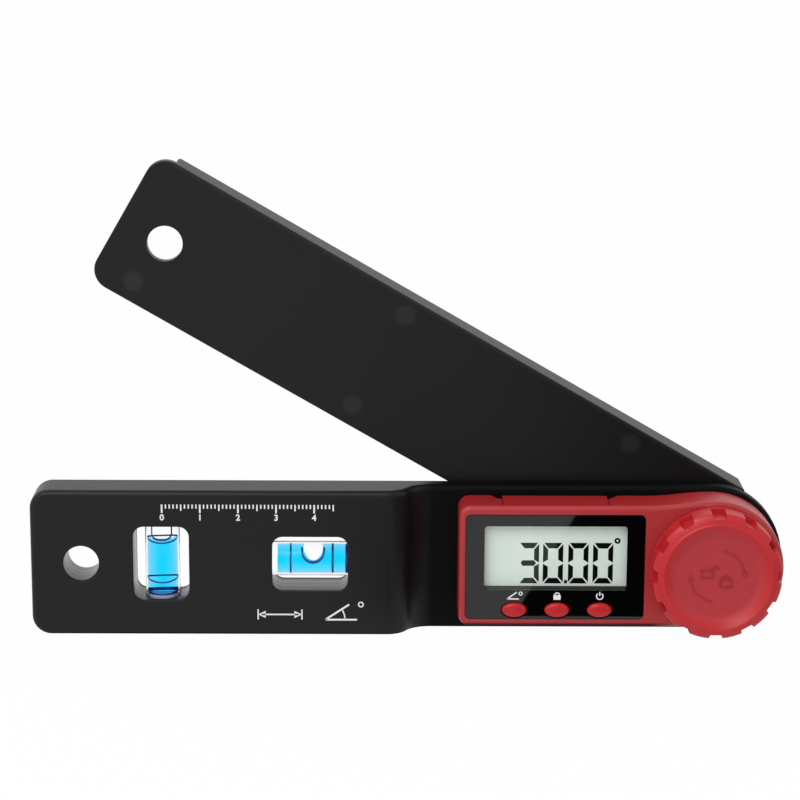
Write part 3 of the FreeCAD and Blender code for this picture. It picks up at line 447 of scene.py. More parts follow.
def white_ink(settings):
    # pad-printed ink: flat white, slightly silky
    return finish_surface("white_pad_print", "#ececec", settings.ink, 4, (0.4, 0.5), 0.3, 0.001)


def draw_scale(shape, length, height):
    """A plain millimetre scale, its figures in centimetres."""
    for n in range(length + 1):
        tall = 2.3 if n % 10 == 0 else 1.7 if n % 5 == 0 else 1.1
        wide = 0.44 if n % 10 == 0 else 0.36
        draw_bar(shape, (n, 0), (n, -tall), wide, height)
        if n % 10 == 0:
            draw_text(shape, str(n // 10), (n, -3.6), 2.3, height)


def draw_length_symbol(shape, length, height):
    """A line with an arrow head and a stop at each end."""
    draw_bar(shape, (1.2, 0), (length - 1.2, 0), 0.4, height)
    for x, way in ((0.3, 180), (length - 0.3, 0)):
        draw_arrow_head(shape, (x, 0), way, 2.0, height)
        draw_bar(shape, (x, -1.4), (x, 1.4), 0.36, height)


def draw_angle_symbol(shape, size, height):
    """Two legs, the arc between them and a degree ring."""
    draw_bar(shape, (0, 0), (size, 0), 0.5, height)
    draw_bar(shape, (0, 0), (size * 0.75, size * 0.5), 0.5, height)
    draw_arc(shape, (0, 0), size * 0.62, 0.36, 4, 30, height)
    draw_arc(shape, (size * 1.12, size * 0.5), 0.62, 0.34, 0, 360, height)


class ANGLEFINDER_OT_lower_arm(bpy.types.Operator):
    """Black lower arm with its printed scale and symbols"""

    bl_idname = "angle_finder.lower_arm"
    bl_label = "Lower arm"

    def execute(self, context):
        settings = context.scene.angle_finder_arms
        # the openings' walls are polished steel in the mould; the tongue is painted darker and duller,
        # as painted shade under the housing; the lower edge is rubbed dull where it slides on the work
        shell = black_abs(settings, "black_abs_with_smooth_openings_and_shaded_tongue", [
            (tongue_face, "#0a0a0b", 0.5, 0.06), (opening_walls, settings.light, 0.22, 0.9),
            (low_edge(1.1, 0.4), settings.dark, 0.6, 0.0),
        ])
        dress(shell, "lower_arm_shell")
        dress(black_abs(settings), "lower_arm_back_plate", "vial_saddles", "pivot_cap")
        ink = white_ink(settings)
        # what is printed, its length, and where it starts from the pivot, in mm
        for name, draw, length, x, z in (
            ("scale", draw_scale, settings.scale_length, -145.2, 16.2),
            ("length_symbol", draw_length_symbol, 12.2, -120.4, -13.9),
            ("angle_symbol", draw_angle_symbol, 8.4, -102.3, -15.3),
        ):
            marks = bmesh.new()
            draw(marks, length, settings.ink_height)
            make_piece(
                "printed_" + name, marks, ink, "lower_arm",
                front_of("lower_arm_shell", x, z),
            )
        return {"FINISHED"}


# ---- upper arm
# the sinks' middles, in mm from the pivot and above the arm's middle, and their radius
SINKS = (33.5, -12.8), (33.5, 15.3), (102.8, -12.8), (102.8, 15.3), (169.0, -12.8)
SINK_RADIUS = 3.4


def sink_marks(places, radius):
    """Marks faint round sinks in a moulded plate, opposite the pads on its back."""
    def marked(tree, place):
        whole = 0.0
        for point in places:
            away = add_node(
                tree, "VectorMath", {0: place, 1: tuple(point)}, operation="DISTANCE"
            )
            sink = add_node(
                tree, "MapRange",
                {0: away.outputs["Value"], 1: radius * 0.5 * MM, 2: radius * MM, 3: 1.0, 4: 0.0},
                interpolation_type="SMOOTHSTEP",
            )
            whole = add_node(tree, "Math", {0: whole, 1: sink})
        return whole
    return marked


def outer_edge(start, full):
    """Marks the upper arm's long outer edge, between two distances from its middle in mm."""
    def marked(tree, place):
        lift = add_node(tree, "VectorMath", {0: place, 1: tuple(PIVOT)}, operation="SUBTRACT")
        across = (math.sin(REST_ANGLE), 0, math.cos(REST_ANGLE))
        reach = add_node(tree, "VectorMath", {0: lift, 1: across}, operation="DOT_PRODUCT")
        return add_node(
            tree, "MapRange", {0: reach.outputs["Value"], 1: start * MM, 2: full * MM}
        )
    return marked


class ANGLEFINDER_OT_upper_arm(bpy.types.Operator):
    """Black upper arm, with the faint sinks of its moulding"""

    bl_idname = "angle_finder.upper_arm"
    bl_label = "Upper arm"

    def execute(self, context):
        settings = context.scene.angle_finder_arms
        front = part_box("upper_arm")[0].y
        places = [on_upper_arm(*sink, front) for sink in SINKS]
        # a sink cools against no mould, so it is a shade paler and duller; a band by the long outer
        # edge is painted paler, a painted highlight for a rounded edge; and the flange's outer face,
        # which lies on the work, is dull
        plate = black_abs(settings, "black_moulded_abs_with_sinks_and_edge_highlight", [
            (sink_marks(places, SINK_RADIUS), "#1b1b1c", 0.45, 0.3),
            (outer_edge(18.6, 19.3), "#1c1c1d", 0.4, 0.26),
            (outer_edge(19.6, 19.7), "#1c1c1d", 0.36, 0.06),
        ])
        dress(plate, "upper_arm")
        return {"FINISHED"}


# ---- vials
# thickness of the printed rings and of the bubble's rim, in mm
BAND_THICKNESS = 0.04
# how much lower the front of a lying ring, and the back of the air, shows per mm of depth
RING_LEAN = 0.2
AIR_LEAN = 0.22
# the plumb vial's air and its dark rim: half its width, its bottom and its corners, in mm
PLUMB_AIR = 2.0, 6.1, 1.0
PLUMB_RIM = 2.25, 5.5, 1.3
# the level vial's bubble and its dark rim: middle, half its width and height, and top, in mm
LEVEL_AIR = 0.73, 2.35, 2.65, 2.25, 5
LEVEL_RIM = 0.73, 2.3, 3.15, 2.9, 2.6


class VialSettings(bpy.types.PropertyGroup):
    bore: bpy.props.FloatProperty(
        name="Bore", description="Radius of the liquid in both vials, in mm", default=2.6
    )
    ring_width: bpy.props.FloatProperty(
        name="Ring width", description="Width of the printed rings, in mm", default=0.42
    )
    liquid: bpy.props.StringProperty(
        name="Liquid", description="sRGB hex colour of the liquid", default="#00d6ff"
    )
    ink: bpy.props.StringProperty(
        name="Rings", description="sRGB hex colour of the rings", default="#0c46a8"
    )


def acrylic():
    # cast acrylic, flame polished: clear and smooth, its waves too slight to notice
    return finish_surface(
        "clear_polished_acrylic", "#fbfdff", "#ffffff", 8, (0.0, 0.015), 2.5, 0.0004,
        Transmission_Weight=1.0, IOR=1.49, Specular_Tint=(0.25, 0.25, 0.25, 1.0),
    )


def vial_liquid(colour):
    # dyed spirit: clear and flat, its colour strongest where the liquid is deepest
    material, tree = new_material("dyed_vial_spirit")
    place = add_node(tree, "TexCoord").outputs["Object"]
    clouds = add_node(
        tree, "TexNoise", {"Vector": place, "Scale": 1 / (2.5 * MM), "Detail": 2.0}
    )
    wavy = add_node(tree, "MapRange", {0: clouds, 1: 0.2, 2: 0.8, 3: -0.03, 4: 0.03})
    facing = add_node(tree, "LayerWeight", {"Blend": 0.2}).outputs["Facing"]
    shallow = add_node(tree, "Math", {0: facing, 1: wavy})
    tint = add_node(
        tree, "Mix", {0: shallow, 6: linear(colour), 7: linear("#dfe6ff")},
        data_type="RGBA",
    )
    principled = add_node(
        tree, "BsdfPrincipled",
        {
            "Base Color": tint.outputs[2], "Roughness": 0.0, "IOR": 1.0,
            "Transmission Weight": 1.0,
        },
    )
    add_node(tree, "OutputMaterial", {"Surface": principled})
    return material


def rounded_rod(radius, low, high, edge):
    """A solid rod between two heights, its edges rounded."""
    outline = [(0, low), (radius, low), (radius, high), (0, high)]
    return spun(outline, [(edge, (1, 2))], 64)


def band(radius, low, high):
    """A hair-thin ring round a vial's liquid."""
    outer = radius + BAND_THICKNESS
    corners = [(radius, low), (outer, low), (outer, high), (radius, high)]
    return spun([*corners, corners[0]], (), 64)


def on_liquid(outline, radius, way):
    """The part of a hair-thin tube round the liquid that an outline covers from the front."""
    tube = band(radius, -12.0, 12.0)
    bmesh.ops.transform(tube, matrix=way, verts=tube.verts)
    return cut_shape(tube, outline, "INTERSECT")


def oval_outline(x, z, wide, tall, top):
    """A prism over an oval that ends at a level top."""
    shape = bmesh.new()
    bmesh.ops.create_circle(shape, cap_ends=True, segments=48, radius=MM)
    size = Matrix.Diagonal((wide, 1, tall, 1))
    place = Matrix.Translation((x * MM, 0, z * MM)) @ size @ FACING_FRONT
    bmesh.ops.transform(shape, matrix=place, verts=shape.verts)
    bmesh.ops.bisect_plane(
        shape, geom=shape.verts[:] + shape.edges[:] + shape.faces[:],
        plane_co=(0, 0, top * MM), plane_no=(0, 0, 1), clear_outer=True,
    )
    raise_faces(shape, shape.faces[:], 6)
    return shape


def cup_outline(half, bottom, corner):
    """A prism over a strip with rounded lower corners."""
    shape = bmesh.new()
    turn = corner * (1 - math.sqrt(0.5))
    side = [
        (half - corner, bottom), (half - turn, bottom + turn), (half, bottom + corner),
        (half, 11),
    ]
    draw_polygon(shape, [(-x, z) for x, z in reversed(side)] + side, 6)
    return shape


class Vial:
    """One vial: a clear rod round its liquid, with the printed rings."""

    def __init__(self, node, way, settings):
        self.node, self.way, self.settings = node, way, settings
        low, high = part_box(node)
        self.middle = Matrix.Translation((low + high) / 2)
        sizes = sorted((high - low) / MM)
        self.radius, self.half = sizes[0] / 2, sizes[2] / 2
        # blue printing ink: flat, dark and slightly silky
        self.ink = finish_surface(
            "blue_ring_print", "#0a3a96", settings.ink, 2, (0.4, 0.5), 0.3, 0.0005
        )

    def add(self, name, shape, material, lean=Matrix(), turned=True, replaces=()):
        way = self.way if turned else Matrix()
        make_piece(
            f"{self.node}_{name}", shape, material, "lower_arm",
            self.middle @ lean @ way, replaces,
        )

    def rod(self):
        shape = rounded_rod(self.radius, -self.half, self.half, 0.4)
        self.add("rod", shape, acrylic(), replaces=[self.node])

    def core(self, low, high, air):
        """The liquid, less the air that an outline covers."""
        shape = rounded_rod(self.settings.bore, low, high, 0.2)
        bmesh.ops.transform(shape, matrix=self.way, verts=shape.verts)
        bmesh.ops.translate(air, verts=air.verts, vec=(0, 3 * MM, 0))
        # the air reaches lower at the back, so that the tube shows one edge of it
        sloping = Matrix()
        sloping[2][1] = -AIR_LEAN
        sloping[2][3] = -AIR_LEAN * self.settings.bore * MM
        bmesh.ops.transform(air, matrix=sloping, verts=air.verts)
        self.add(
            "core", cut_shape(shape, air), vial_liquid(self.settings.liquid), turned=False,
            replaces=[self.node + "_liquid"],
        )

    def ring(self, name, along, width, lean=Matrix()):
        shape = band(self.settings.bore + 0.02, along - width / 2, along + width / 2)
        self.add(name, shape, self.ink, lean)

    def bubble_rim(self, outline, air):
        """The dark rim round the bubble, in the rings' ink: painted shade at the meniscus's edge."""
        rim = on_liquid(outline, self.settings.bore + 0.08, self.way)
        self.add("bubble_rim", cut_shape(rim, air), self.ink, turned=False)


class ANGLEFINDER_OT_vials(bpy.types.Operator):
    """Both spirit vials with their liquid, bubbles and rings"""

    bl_idname = "angle_finder.vials"
    bl_label = "Spirit vials"

    def execute(self, context):
        settings = context.scene.angle_finder_vials
        width = settings.ring_width
        # the thick tube shows the front of a lying ring lower than its back
        lean = Matrix()
        lean[2][1] = RING_LEAN
        # places along a vial are in mm from its middle
        plumb = Vial("plumb_vial", Matrix(), settings)
        plumb.rod()
        plumb.core(-9.3, 5.8, cup_outline(*PLUMB_AIR))
        plumb.ring("ring_1", 5.4, width, lean)
        plumb.ring("ring_2", -5.4, width, lean)
        plumb.ring("end_ring", -9.05, 0.95, lean)
        plumb.bubble_rim(cup_outline(*PLUMB_RIM), cup_outline(*PLUMB_AIR))
        # the plug under the liquid: pale cement that seals the bore
        cement = finish_surface(
            "pale_vial_cement", "#dcd6ee", "#f0ecf8", 1.5, (0.3, 0.4), 0.5, 0.002
        )
        plumb.add("foot", rounded_rod(settings.bore + 0.3, -10.6, -9.5, 0.2), cement)

        level = Vial("level_vial", LYING, settings)
        level.rod()
        level.core(-8.65, 9.7, oval_outline(*LEVEL_AIR))
        level.ring("ring_1", -5.17, width)
        level.ring("ring_2", 5.83, width)
        level.ring("end_ring", 9.5, 0.55)
        level.bubble_rim(oval_outline(*LEVEL_RIM), oval_outline(*LEVEL_AIR))
        dress(cement, "vial_end_plugs")
        return {"FINISHED"}


# ---- housing
class HousingSettings(bpy.types.PropertyGroup):
    dark: bpy.props.StringProperty(
        name="Darker plastic", description="sRGB hex colour of the housing", default="#a82226"
    )
    light: bpy.props.StringProperty(
        name="Lighter plastic", description="sRGB hex colour of the housing", default="#b2282c"
    )
    button: bpy.props.StringProperty(
        name="Buttons", description="sRGB hex colour of the buttons", default="#b81a1c"
    )
    knob: bpy.props.StringProperty(
        name="Knob", description="sRGB hex colour of the lock knob", default="#c4262c"
    )


def red_abs(name, dark, light, rough=(0.34, 0.44), **more):
    # moulded ABS from a semi-gloss mould: smooth, with a broad soft highlight
    return finish_surface(name, dark, light, 18, rough, 0.5, 0.004, **more)


class ANGLEFINDER_OT_housing(bpy.types.Operator):
    """Red display housing and battery tray"""

    bl_idname = "angle_finder.housing"
    bl_label = "Housing"

    def execute(self, context):
        settings = context.scene.angle_finder_housing
        # the lower edge is painted dark and dull where it rounds away into the joint with the arm: painted shade
        red = red_abs(
            "red_moulded_abs_with_shaded_lower_edge", settings.dark, settings.light,
            zones=[(low_edge(5.3, 4.5, -10), "#1a0506", 0.5, 0.05)],
        )
        dress(red, "display_cover", "battery_tray")
        return {"FINISHED"}


# ---- display
# the bars of each digit: a on top, b and c on the right, d below, e and f on the left,
# and g across the middle
DIGITS = {
    "0": "abcdef", "1": "bc", "2": "abdeg", "3": "abcdg", "4": "bcfg", "5": "acdfg",
    "6": "acdefg", "7": "abc", "8": "abcdefg", "9": "abcdfg",
}
# where each digit starts and the digits' foot, in mm from the pivot
DIGIT_PLACES = -51.35, -45.0, -38.35, -31.85
DIGIT_FOOT = -4.5
# thickness of what the display shows, in mm
FILM = 0.03
# height of the symbols over the buttons, from the pivot, in mm
SYMBOL_HEIGHT = -7.25


class DisplaySettings(bpy.types.PropertyGroup):
    reading: bpy.props.StringProperty(
        name="Reading", description="The four digits shown", default="3000"
    )
    digit_height: bpy.props.FloatProperty(
        name="Digit height", description="Height of the digits, in mm", default=11.1
    )
    digit_width: bpy.props.FloatProperty(
        name="Digit width", description="Width of the digits, in mm", default=5.3
    )
    stroke: bpy.props.FloatProperty(
        name="Stroke", description="Width of the digits' bars, in mm", default=1.3
    )
    glass: bpy.props.StringProperty(
        name="Glass", description="sRGB hex colour of the display", default="#f0faf2"
    )


def draw_digit(shape, lit, x, z, settings, height):
    """One seven-bar digit from its lower left corner."""
    w, h, t = settings.digit_width, settings.digit_height, settings.stroke
    # half the gap between bars, the middle, and the height of a lying bar
    g, m, n = 0.16, h / 2, settings.stroke * 1.15
    bars = {
        "a": [(g * 2, h), (w - g * 2, h), (w - t - g, h - n), (t + g, h - n)],
        "d": [(g * 2, 0), (w - g * 2, 0), (w - t - g, n), (t + g, n)],
        "g": [
            (g * 3, m), (t * 0.75, m - n / 2), (w - t, m - n / 2),
            (w - t * 0.6, m), (w - t, m + n / 2), (t * 0.75, m + n / 2),
        ],
        "b": [(w, h - g * 2), (w, m + g), (w - t, m + t * 0.6 + g), (w - t, h - n - g * 2)],
        "c": [(w, g * 2), (w, m - g), (w - t, m - t * 0.6 - g), (w - t, n + g * 2)],
        "e": [(0, g * 2), (0, m - g), (t, m - t * 0.6 - g), (t, n + g * 2)],
        "f": [(0, h - g * 2), (0, m + g), (t, m + t * 0.6 + g), (t, h - n - g * 2)],
    }
    for bar in lit:
        draw_polygon(shape, [(x + px, z + pz) for px, pz in bars[bar]], height)


def clear_sheet():
    # thin polished acrylic: lets light straight through and mirrors a little of the room;
    # its faint clouds are 11 mm wide
    material, tree = new_material("clear_window_acrylic")
    place = add_node(tree, "TexCoord").outputs["Object"]
    clouds = add_node(tree, "TexNoise", {"Vector": place, "Scale": 90.0, "Detail": 2.0})
    tint = add_node(
        tree, "Mix", {0: clouds, 6: linear("#fafcfb"), 7: linear("#ffffff")},
        data_type="RGBA",
    )
    through = add_node(tree, "BsdfTransparent", {"Color": tint.outputs[2]})
    gloss = add_node(tree, "BsdfAnisotropic", {"Roughness": 0.03})
    outside = add_node(
        tree, "Math", {0: 1.0, 1: add_node(tree, "NewGeometry").outputs["Backfacing"]},
        operation="SUBTRACT",
    )
    mirror = add_node(tree, "Fresnel", {"IOR": 1.49})
    share = add_node(tree, "Math", {0: mirror, 1: outside}, operation="MULTIPLY")
    both = add_node(tree, "MixShader", {0: share, 1: through, 2: gloss})
    add_node(tree, "OutputMaterial", {"Surface": both})
    return material


def draw_mode_symbol(shape, height):
    draw_bar(shape, (-1.9, -0.9), (1.2, -0.9), 0.34, height)
    draw_bar(shape, (-1.9, -0.9), (0.6, 0.95), 0.34, height)
    draw_arc(shape, (1.65, 0.6), 0.42, 0.26, 0, 360, height)


def draw_hold_symbol(shape, height):
    draw_box(shape, (-0.95, -1.1), (0.95, 0.2), height)
    draw_arc(shape, (0, 0.2), 0.6, 0.3, 0, 180, height)


def draw_power_symbol(shape, height):
    draw_arc(shape, (0, -0.1), 0.85, 0.3, 125, 415, height)
    draw_bar(shape, (0, 0.0), (0, 1.1), 0.3, height)


class ANGLEFINDER_OT_display(bpy.types.Operator):
    """Black panel with its symbols, clear lens, display glass and reading"""

    bl_idname = "angle_finder.display"
    bl_label = "Display"

    def execute(self, context):
        settings = context.scene.angle_finder_display
        # clear sheet printed black from behind: a hard gloss
        panel = finish_surface(
            "black_gloss_panel", "#040404", "#060606", 15, (0.03, 0.06), 3, 0.0002
        )
        dress(panel, "face_plate")
        dress(clear_sheet(), "display_lens")
        # polariser over a reflector: a flat grey-green with the faintest speckle
        glass = finish_surface(
            "lcd_polariser", "#e8f4ea", settings.glass, 10, (0.3, 0.38), 0.25, 0.0005
        )
        dress(glass, "lcd_glass")

        digits = bmesh.new()
        for number, x in zip(settings.reading, DIGIT_PLACES):
            draw_digit(digits, DIGITS[number], x, DIGIT_FOOT, settings, FILM)
        # the decimal point and the degree ring
        draw_box(digits, (-39.35, DIGIT_FOOT), (-38.55, -3.6), FILM)
        draw_arc(digits, (-25.5, 7.2), 0.55, 0.5, 0, 360, FILM)
        # liquid crystal switched on: near black, flat
        crystal = finish_surface(
            "lcd_segments", "#040504", "#080908", 3, (0.4, 0.5), 0.3, 0.0005,
            Specular_IOR_Level=0.1,
        )
        make_piece(
            "display_reading", digits, crystal, "lower_arm",
            front_of("lcd_glass"),
        )
        # the glass's bare ledge under the polariser: a dim grey-green strip, which also stands as painted shade
        # for the lower wall of the recess
        ledge = bmesh.new()
        draw_box(ledge, (-61.5, -6.6), (-22.5, -5.2), FILM)
        dim = finish_surface(
            "bare_ledge_glass_and_painted_shade", "#3c443e", "#48504a", 3, (0.3, 0.4), 0.3, 0.0005
        )
        make_piece(
            "display_ledge_and_shade", ledge, dim, "lower_arm", front_of("lcd_glass")
        )
        arms = context.scene.angle_finder_arms
        ink = white_ink(arms)
        # each symbol's place over its button, in mm from the pivot
        for name, draw, x in (
            ("mode", draw_mode_symbol, -52.5), ("hold", draw_hold_symbol, -41.26),
            ("power", draw_power_symbol, -30.02),
        ):
            marks = bmesh.new()
            draw(marks, arms.ink_height)
            make_piece(
                f"printed_{name}_symbol", marks, ink, "lower_arm",
                front_of("face_plate", x, SYMBOL_HEIGHT),
            )
        return {"FINISHED"}


# ---- buttons
# how far a button's lip reaches out round it, in mm
BUTTON_LIP = 0.6


class ANGLEFINDER_OT_buttons(bpy.types.Operator):
    """The three crowned oval buttons"""

    bl_idname = "angle_finder.buttons"
    bl_label = "Buttons"

    def execute(self, context):
        settings = context.scene.angle_finder_housing
        # moulded ABS from a finer mould than the housing's: brighter and a little smoother
        red = red_abs(
            "red_button_abs", settings.button, "#c22024", (0.3, 0.38),
            Specular_IOR_Level=0.35,
        )
        for name in ("button_mode", "button_hold", "button_power"):
            low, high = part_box(name)
            depth = (high.y - low.y) / MM
            wide, tall = ((high[n] - low[n]) / MM / 2 - BUTTON_LIP for n in (0, 2))
            # the crown, down to the side, then the lip behind the housing's front
            shape = spun(
                [
                    (0, depth), (0.45, depth - 0.05), (0.8, depth - 0.3), (1, depth - 0.75),
                    (1, 0.8), (1.17, 0.8), (1.17, 0), (0, 0),
                ],
                (), 64,
            )
            bmesh.ops.scale(shape, verts=shape.verts, vec=(wide, tall, 1))
            middle = Matrix.Translation(((low.x + high.x) / 2, high.y, (low.z + high.z) / 2))
            piece = make_piece(
                name + "_cap", shape, red, name, middle @ FACING_FRONT,
                replaces=[name], sharp=math.radians(50),
            )
            smoother = piece.modifiers.new("smooth_crown", "SUBSURF")
            smoother.levels = smoother.render_levels = 1
        return {"FINISHED"}


# ---- knob
class KnobSettings(bpy.types.PropertyGroup):
    grips: bpy.props.IntProperty(
        name="Grips", description="Number of pockets round the knob", default=12
    )
    grip_width: bpy.props.FloatProperty(
        name="Grip width", description="Width of each pocket, in mm", default=2.9
    )
    relief: bpy.props.FloatProperty(
        name="Relief", description="Height of the raised symbols in the dish, in mm",
        default=0.3,
    )
    arrow_reach: bpy.props.FloatProperty(
        name="Arrow reach", description="Radius of the raised turning arrows, in mm",
        default=7.0,
    )


# heights over the plane of the skirt's back, and how far the relief is let in, in mm
RIM = 7.5
DISH_FLOOR = 5.5
SUNK = 0.02
# the pockets, in mm: radius of their floor, depth, lower end and height
POCKET = 15.7, 3.0, 1.1, 6.6
# a raised arrow, in degrees on from its start: the bar's end, the head's tip and its way
ARROW = 70, 84, 167


def knob_body():
    """The knob's turned form, its skirt's back on the plane z = 0."""
    return spun(
        [
            (0, DISH_FLOOR), (11.2, DISH_FLOOR), (13.7, 7.2), (14.15, RIM), (14.5, 7.1),
            (15.7, 6.75), (17.0, 5.8), (17.1, 1.1), (17.2, 1.1), (17.2, 0), (14.0, 0),
            (14.0, 4.3), (12.7, 4.0), (7.2, 4.0), (7.2, -4.8), (4.6, -4.8), (4.6, 4.0),
            (0, 4.0),
        ],
        [(1.0, (1,)), (0.15, (2, 3, 4)), (0.35, (6,)), (0.1, (8, 9))],
        144,
    )


def knob_grips(settings):
    """Blocks that cut the pockets in the knob's skirt."""
    shape = bmesh.new()
    floor, deep, low, tall = POCKET
    middle = (floor + deep / 2) * MM
    for n in range(settings.grips):
        turn = Matrix.Rotation(n * math.tau / settings.grips, 4, "Z")
        back = turn.inverted()
        size = Matrix.Diagonal((settings.grip_width * MM, deep * MM, tall * MM, 1))
        out = Matrix.Translation((0, middle, (low + tall / 2) * MM))
        block = bmesh.ops.create_cube(shape, size=1, matrix=turn @ out @ size)
        # the flanks open outwards, for the mould
        outer = [v for v in block["verts"] if (back @ v.co).y > middle]
        bmesh.ops.transform(
            shape, verts=outer, matrix=turn @ Matrix.Diagonal((1.7, 1, 1, 1)) @ back
        )
    return shape


def dish(tree, place):
    """Marks the inside of the knob's dish."""
    axis = add_node(tree, "VectorMath", {0: place, 1: (1, 0, 1)}, operation="MULTIPLY")
    away = add_node(
        tree, "VectorMath", {0: axis, 1: (PIVOT.x, 0, PIVOT.z)}, operation="DISTANCE"
    )
    return add_node(
        tree, "MapRange", {0: away.outputs["Value"], 1: 11.5 * MM, 2: 13.2 * MM, 3: 1.0, 4: 0.0}
    )


def draw_padlock(shape, x, z, opened, height):
    """A small padlock, its shackle closed or swung to the side."""
    for a, b, c, d in (
        (-1.5, -1.6, 1.5, -1.6), (-1.5, 0.4, 1.5, 0.4),
        (-1.5, -1.75, -1.5, 0.55), (1.5, -1.75, 1.5, 0.55),
    ):
        draw_bar(shape, (x + a, z + b), (x + c, z + d), 0.34, height)
    side = 1.9 if opened else 0.0
    draw_arc(shape, (x + side, z + 0.5), 0.95, 0.34, 0, 180, height)


class ANGLEFINDER_OT_knob(bpy.types.Operator):
    """Dished red lock knob with grip pockets and raised symbols"""

    bl_idname = "angle_finder.knob"
    bl_label = "Lock knob"

    def execute(self, context):
        settings = context.scene.angle_finder_knob
        colours = context.scene.angle_finder_housing
        # a semi-gloss rim round a dish with a fine matt grain
        red = red_abs(
            "red_knob_abs", "#bc2228", colours.knob, Specular_IOR_Level=0.35,
            zones=[(dish, "#b83038", 0.5, 0.45)],
        )
        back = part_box("lock_knob")[0].y + RIM * MM
        place = Matrix.Translation((0, back, PIVOT.z))
        knob = cut_shape(knob_body(), knob_grips(settings))
        make_piece(
            "lock_knob_body", knob, red, "knob", place @ FACING_FRONT,
            replaces=["lock_knob"], edge=0.18,
        )
        relief = bmesh.new()
        tall, reach = settings.relief, settings.arrow_reach
        end, tip, way = ARROW
        # two arrows, which start at these degrees
        for start in (80, 260):
            draw_arc(relief, (0, 0), reach, 0.4, start, start - end, tall)
            at = math.radians(start - tip)
            draw_arrow_head(
                relief, (reach * math.cos(at), reach * math.sin(at)), start - way, 1.7, tall
            )
        draw_padlock(relief, -2.6, 1.2, True, tall)
        draw_padlock(relief, 2.2, -1.2, False, tall)
        # the raised lines are painted a shade darker than the dish: painted shade, for the less light they catch
        deep = red_abs("red_relief_abs_painted_darker", "#a4282e", "#ac2e34")
        make_piece(
            "lock_symbols", relief, deep, "knob",
            Matrix.Translation((0, back - (DISH_FLOOR - SUNK) * MM, PIVOT.z)), edge=0.06,
        )
        return {"FINISHED"}


# ---- pivot and inside
def plain(name, dark, light, rough, **shader):
    """The surface of a small part: clouds 6 mm wide and a grain 0.4 mm wide."""
    return finish_surface(name, dark, light, 6, rough, 0.4, 0.003, **shader)


class ANGLEFINDER_OT_pivot(bpy.types.Operator):
    """Bolt, bush, washers and the encoder's moving ring"""

    bl_idname = "angle_finder.pivot"
    bl_label = "Pivot"

    def execute(self, context):
        # turned steel: bright grey, its tool marks too fine to see and drawn as the grain
        steel = plain("turned_steel", "#b0b0b2", "#bcbcbe", (0.25, 0.35), Metallic=1.0)
        dress(steel, "pivot_bolt", "keyed_washer", "stop_pin")
        # turned brass, bare: a warm yellow with the same grain
        brass = plain("turned_brass", "#c8a050", "#d4ac5c", (0.25, 0.35), Metallic=1.0)
        dress(brass, "pivot_bush", "knob_insert")
        # acetal: milky white and waxy
        dress(plain("white_acetal", "#e4e4e0", "#ececea", (0.35, 0.45)), "friction_washer")
        # moulded ABS, white: a little greyer and duller than the acetal
        dress(plain("white_abs", "#d8d8d4", "#e0e0dc", (0.4, 0.5)), "lcd_bezel", "rotor_hub")
        return {"FINISHED"}


class ANGLEFINDER_OT_inside(bpy.types.Operator):
    """Board, chips, contacts, screws and the coin cell"""

    bl_idname = "angle_finder.inside"
    bl_label = "Inside"

    def execute(self, context):
        # silicone rubber: dull, brownish red
        dress(plain("striped_silicone", "#502020", "#602828", (0.6, 0.7)), "zebra_strips")
        # solder mask on glass fibre: green, with a half gloss
        mask = plain("green_solder_mask", "#0a5a26", "#0d662c", (0.3, 0.4))
        dress(mask, "main_board", "rotor_disc")
        # cast epoxy resin: black, glossy in some places and dull in others
        resin = plain("black_epoxy_resin", "#101010", "#161616", (0.3, 0.5))
        dress(resin, "controller_chip", "tact_switches")
        # dipped tin: a warm pale grey metal
        tin = plain("tinned_metal", "#b8b4a8", "#c8c4b8", (0.3, 0.4), Metallic=1.0)
        dress(tin, "board_components", "battery_contact_negative", "battery_contact_positive")
        # zinc plate: a cool grey metal
        zinc = plain("zinc_plated_steel", "#a8a8ac", "#b4b4b8", (0.3, 0.4), Metallic=1.0)
        dress(zinc, "back_plate_screws", "board_screws", "housing_screws")
        # nickel plate: a pale metal, brighter than the zinc
        nickel = plain("nickel_plated_steel", "#c4c4c6", "#cecece", (0.2, 0.3), Metallic=1.0)
        dress(nickel, "coin_cell")
        return {"FINISHED"}


# ---- stage
# the camera's focal length on a frame this wide, and the width of its sensor in mm
FOCAL_PIXELS = 2539.4
FRAME_PIXELS = 800
SENSOR = 36.0
# how much of the floor is its own light for a looking ray; the rest is lit and shows the shadow
FLOOR_GLOW = 0.975
# half the floor's width, in m, and how far it lies under the tool, in mm
FLOOR_HALF = 3.0
FLOOR_GAP = 0.05
# the cards: how far under the tool, in mm, how tall at the far end, in m, and corners, in mm
CARD_GAP = 0.02
CARD_TALL = 1.2
CARDS = {
    "black_card_right": [(-51.4, -34.9), (-20.4, -164.2), (400, -900), (400, -30)],
    "black_card_left": [(-67, -30), (-90, -30), (-90, -900), (-67, -900)],
}
# all in m
KEY_LAMP = {"place": (-0.5, -0.7, 0.9), "target": (-0.08, 0, 0.05), "size": (0.8, 0.6)}


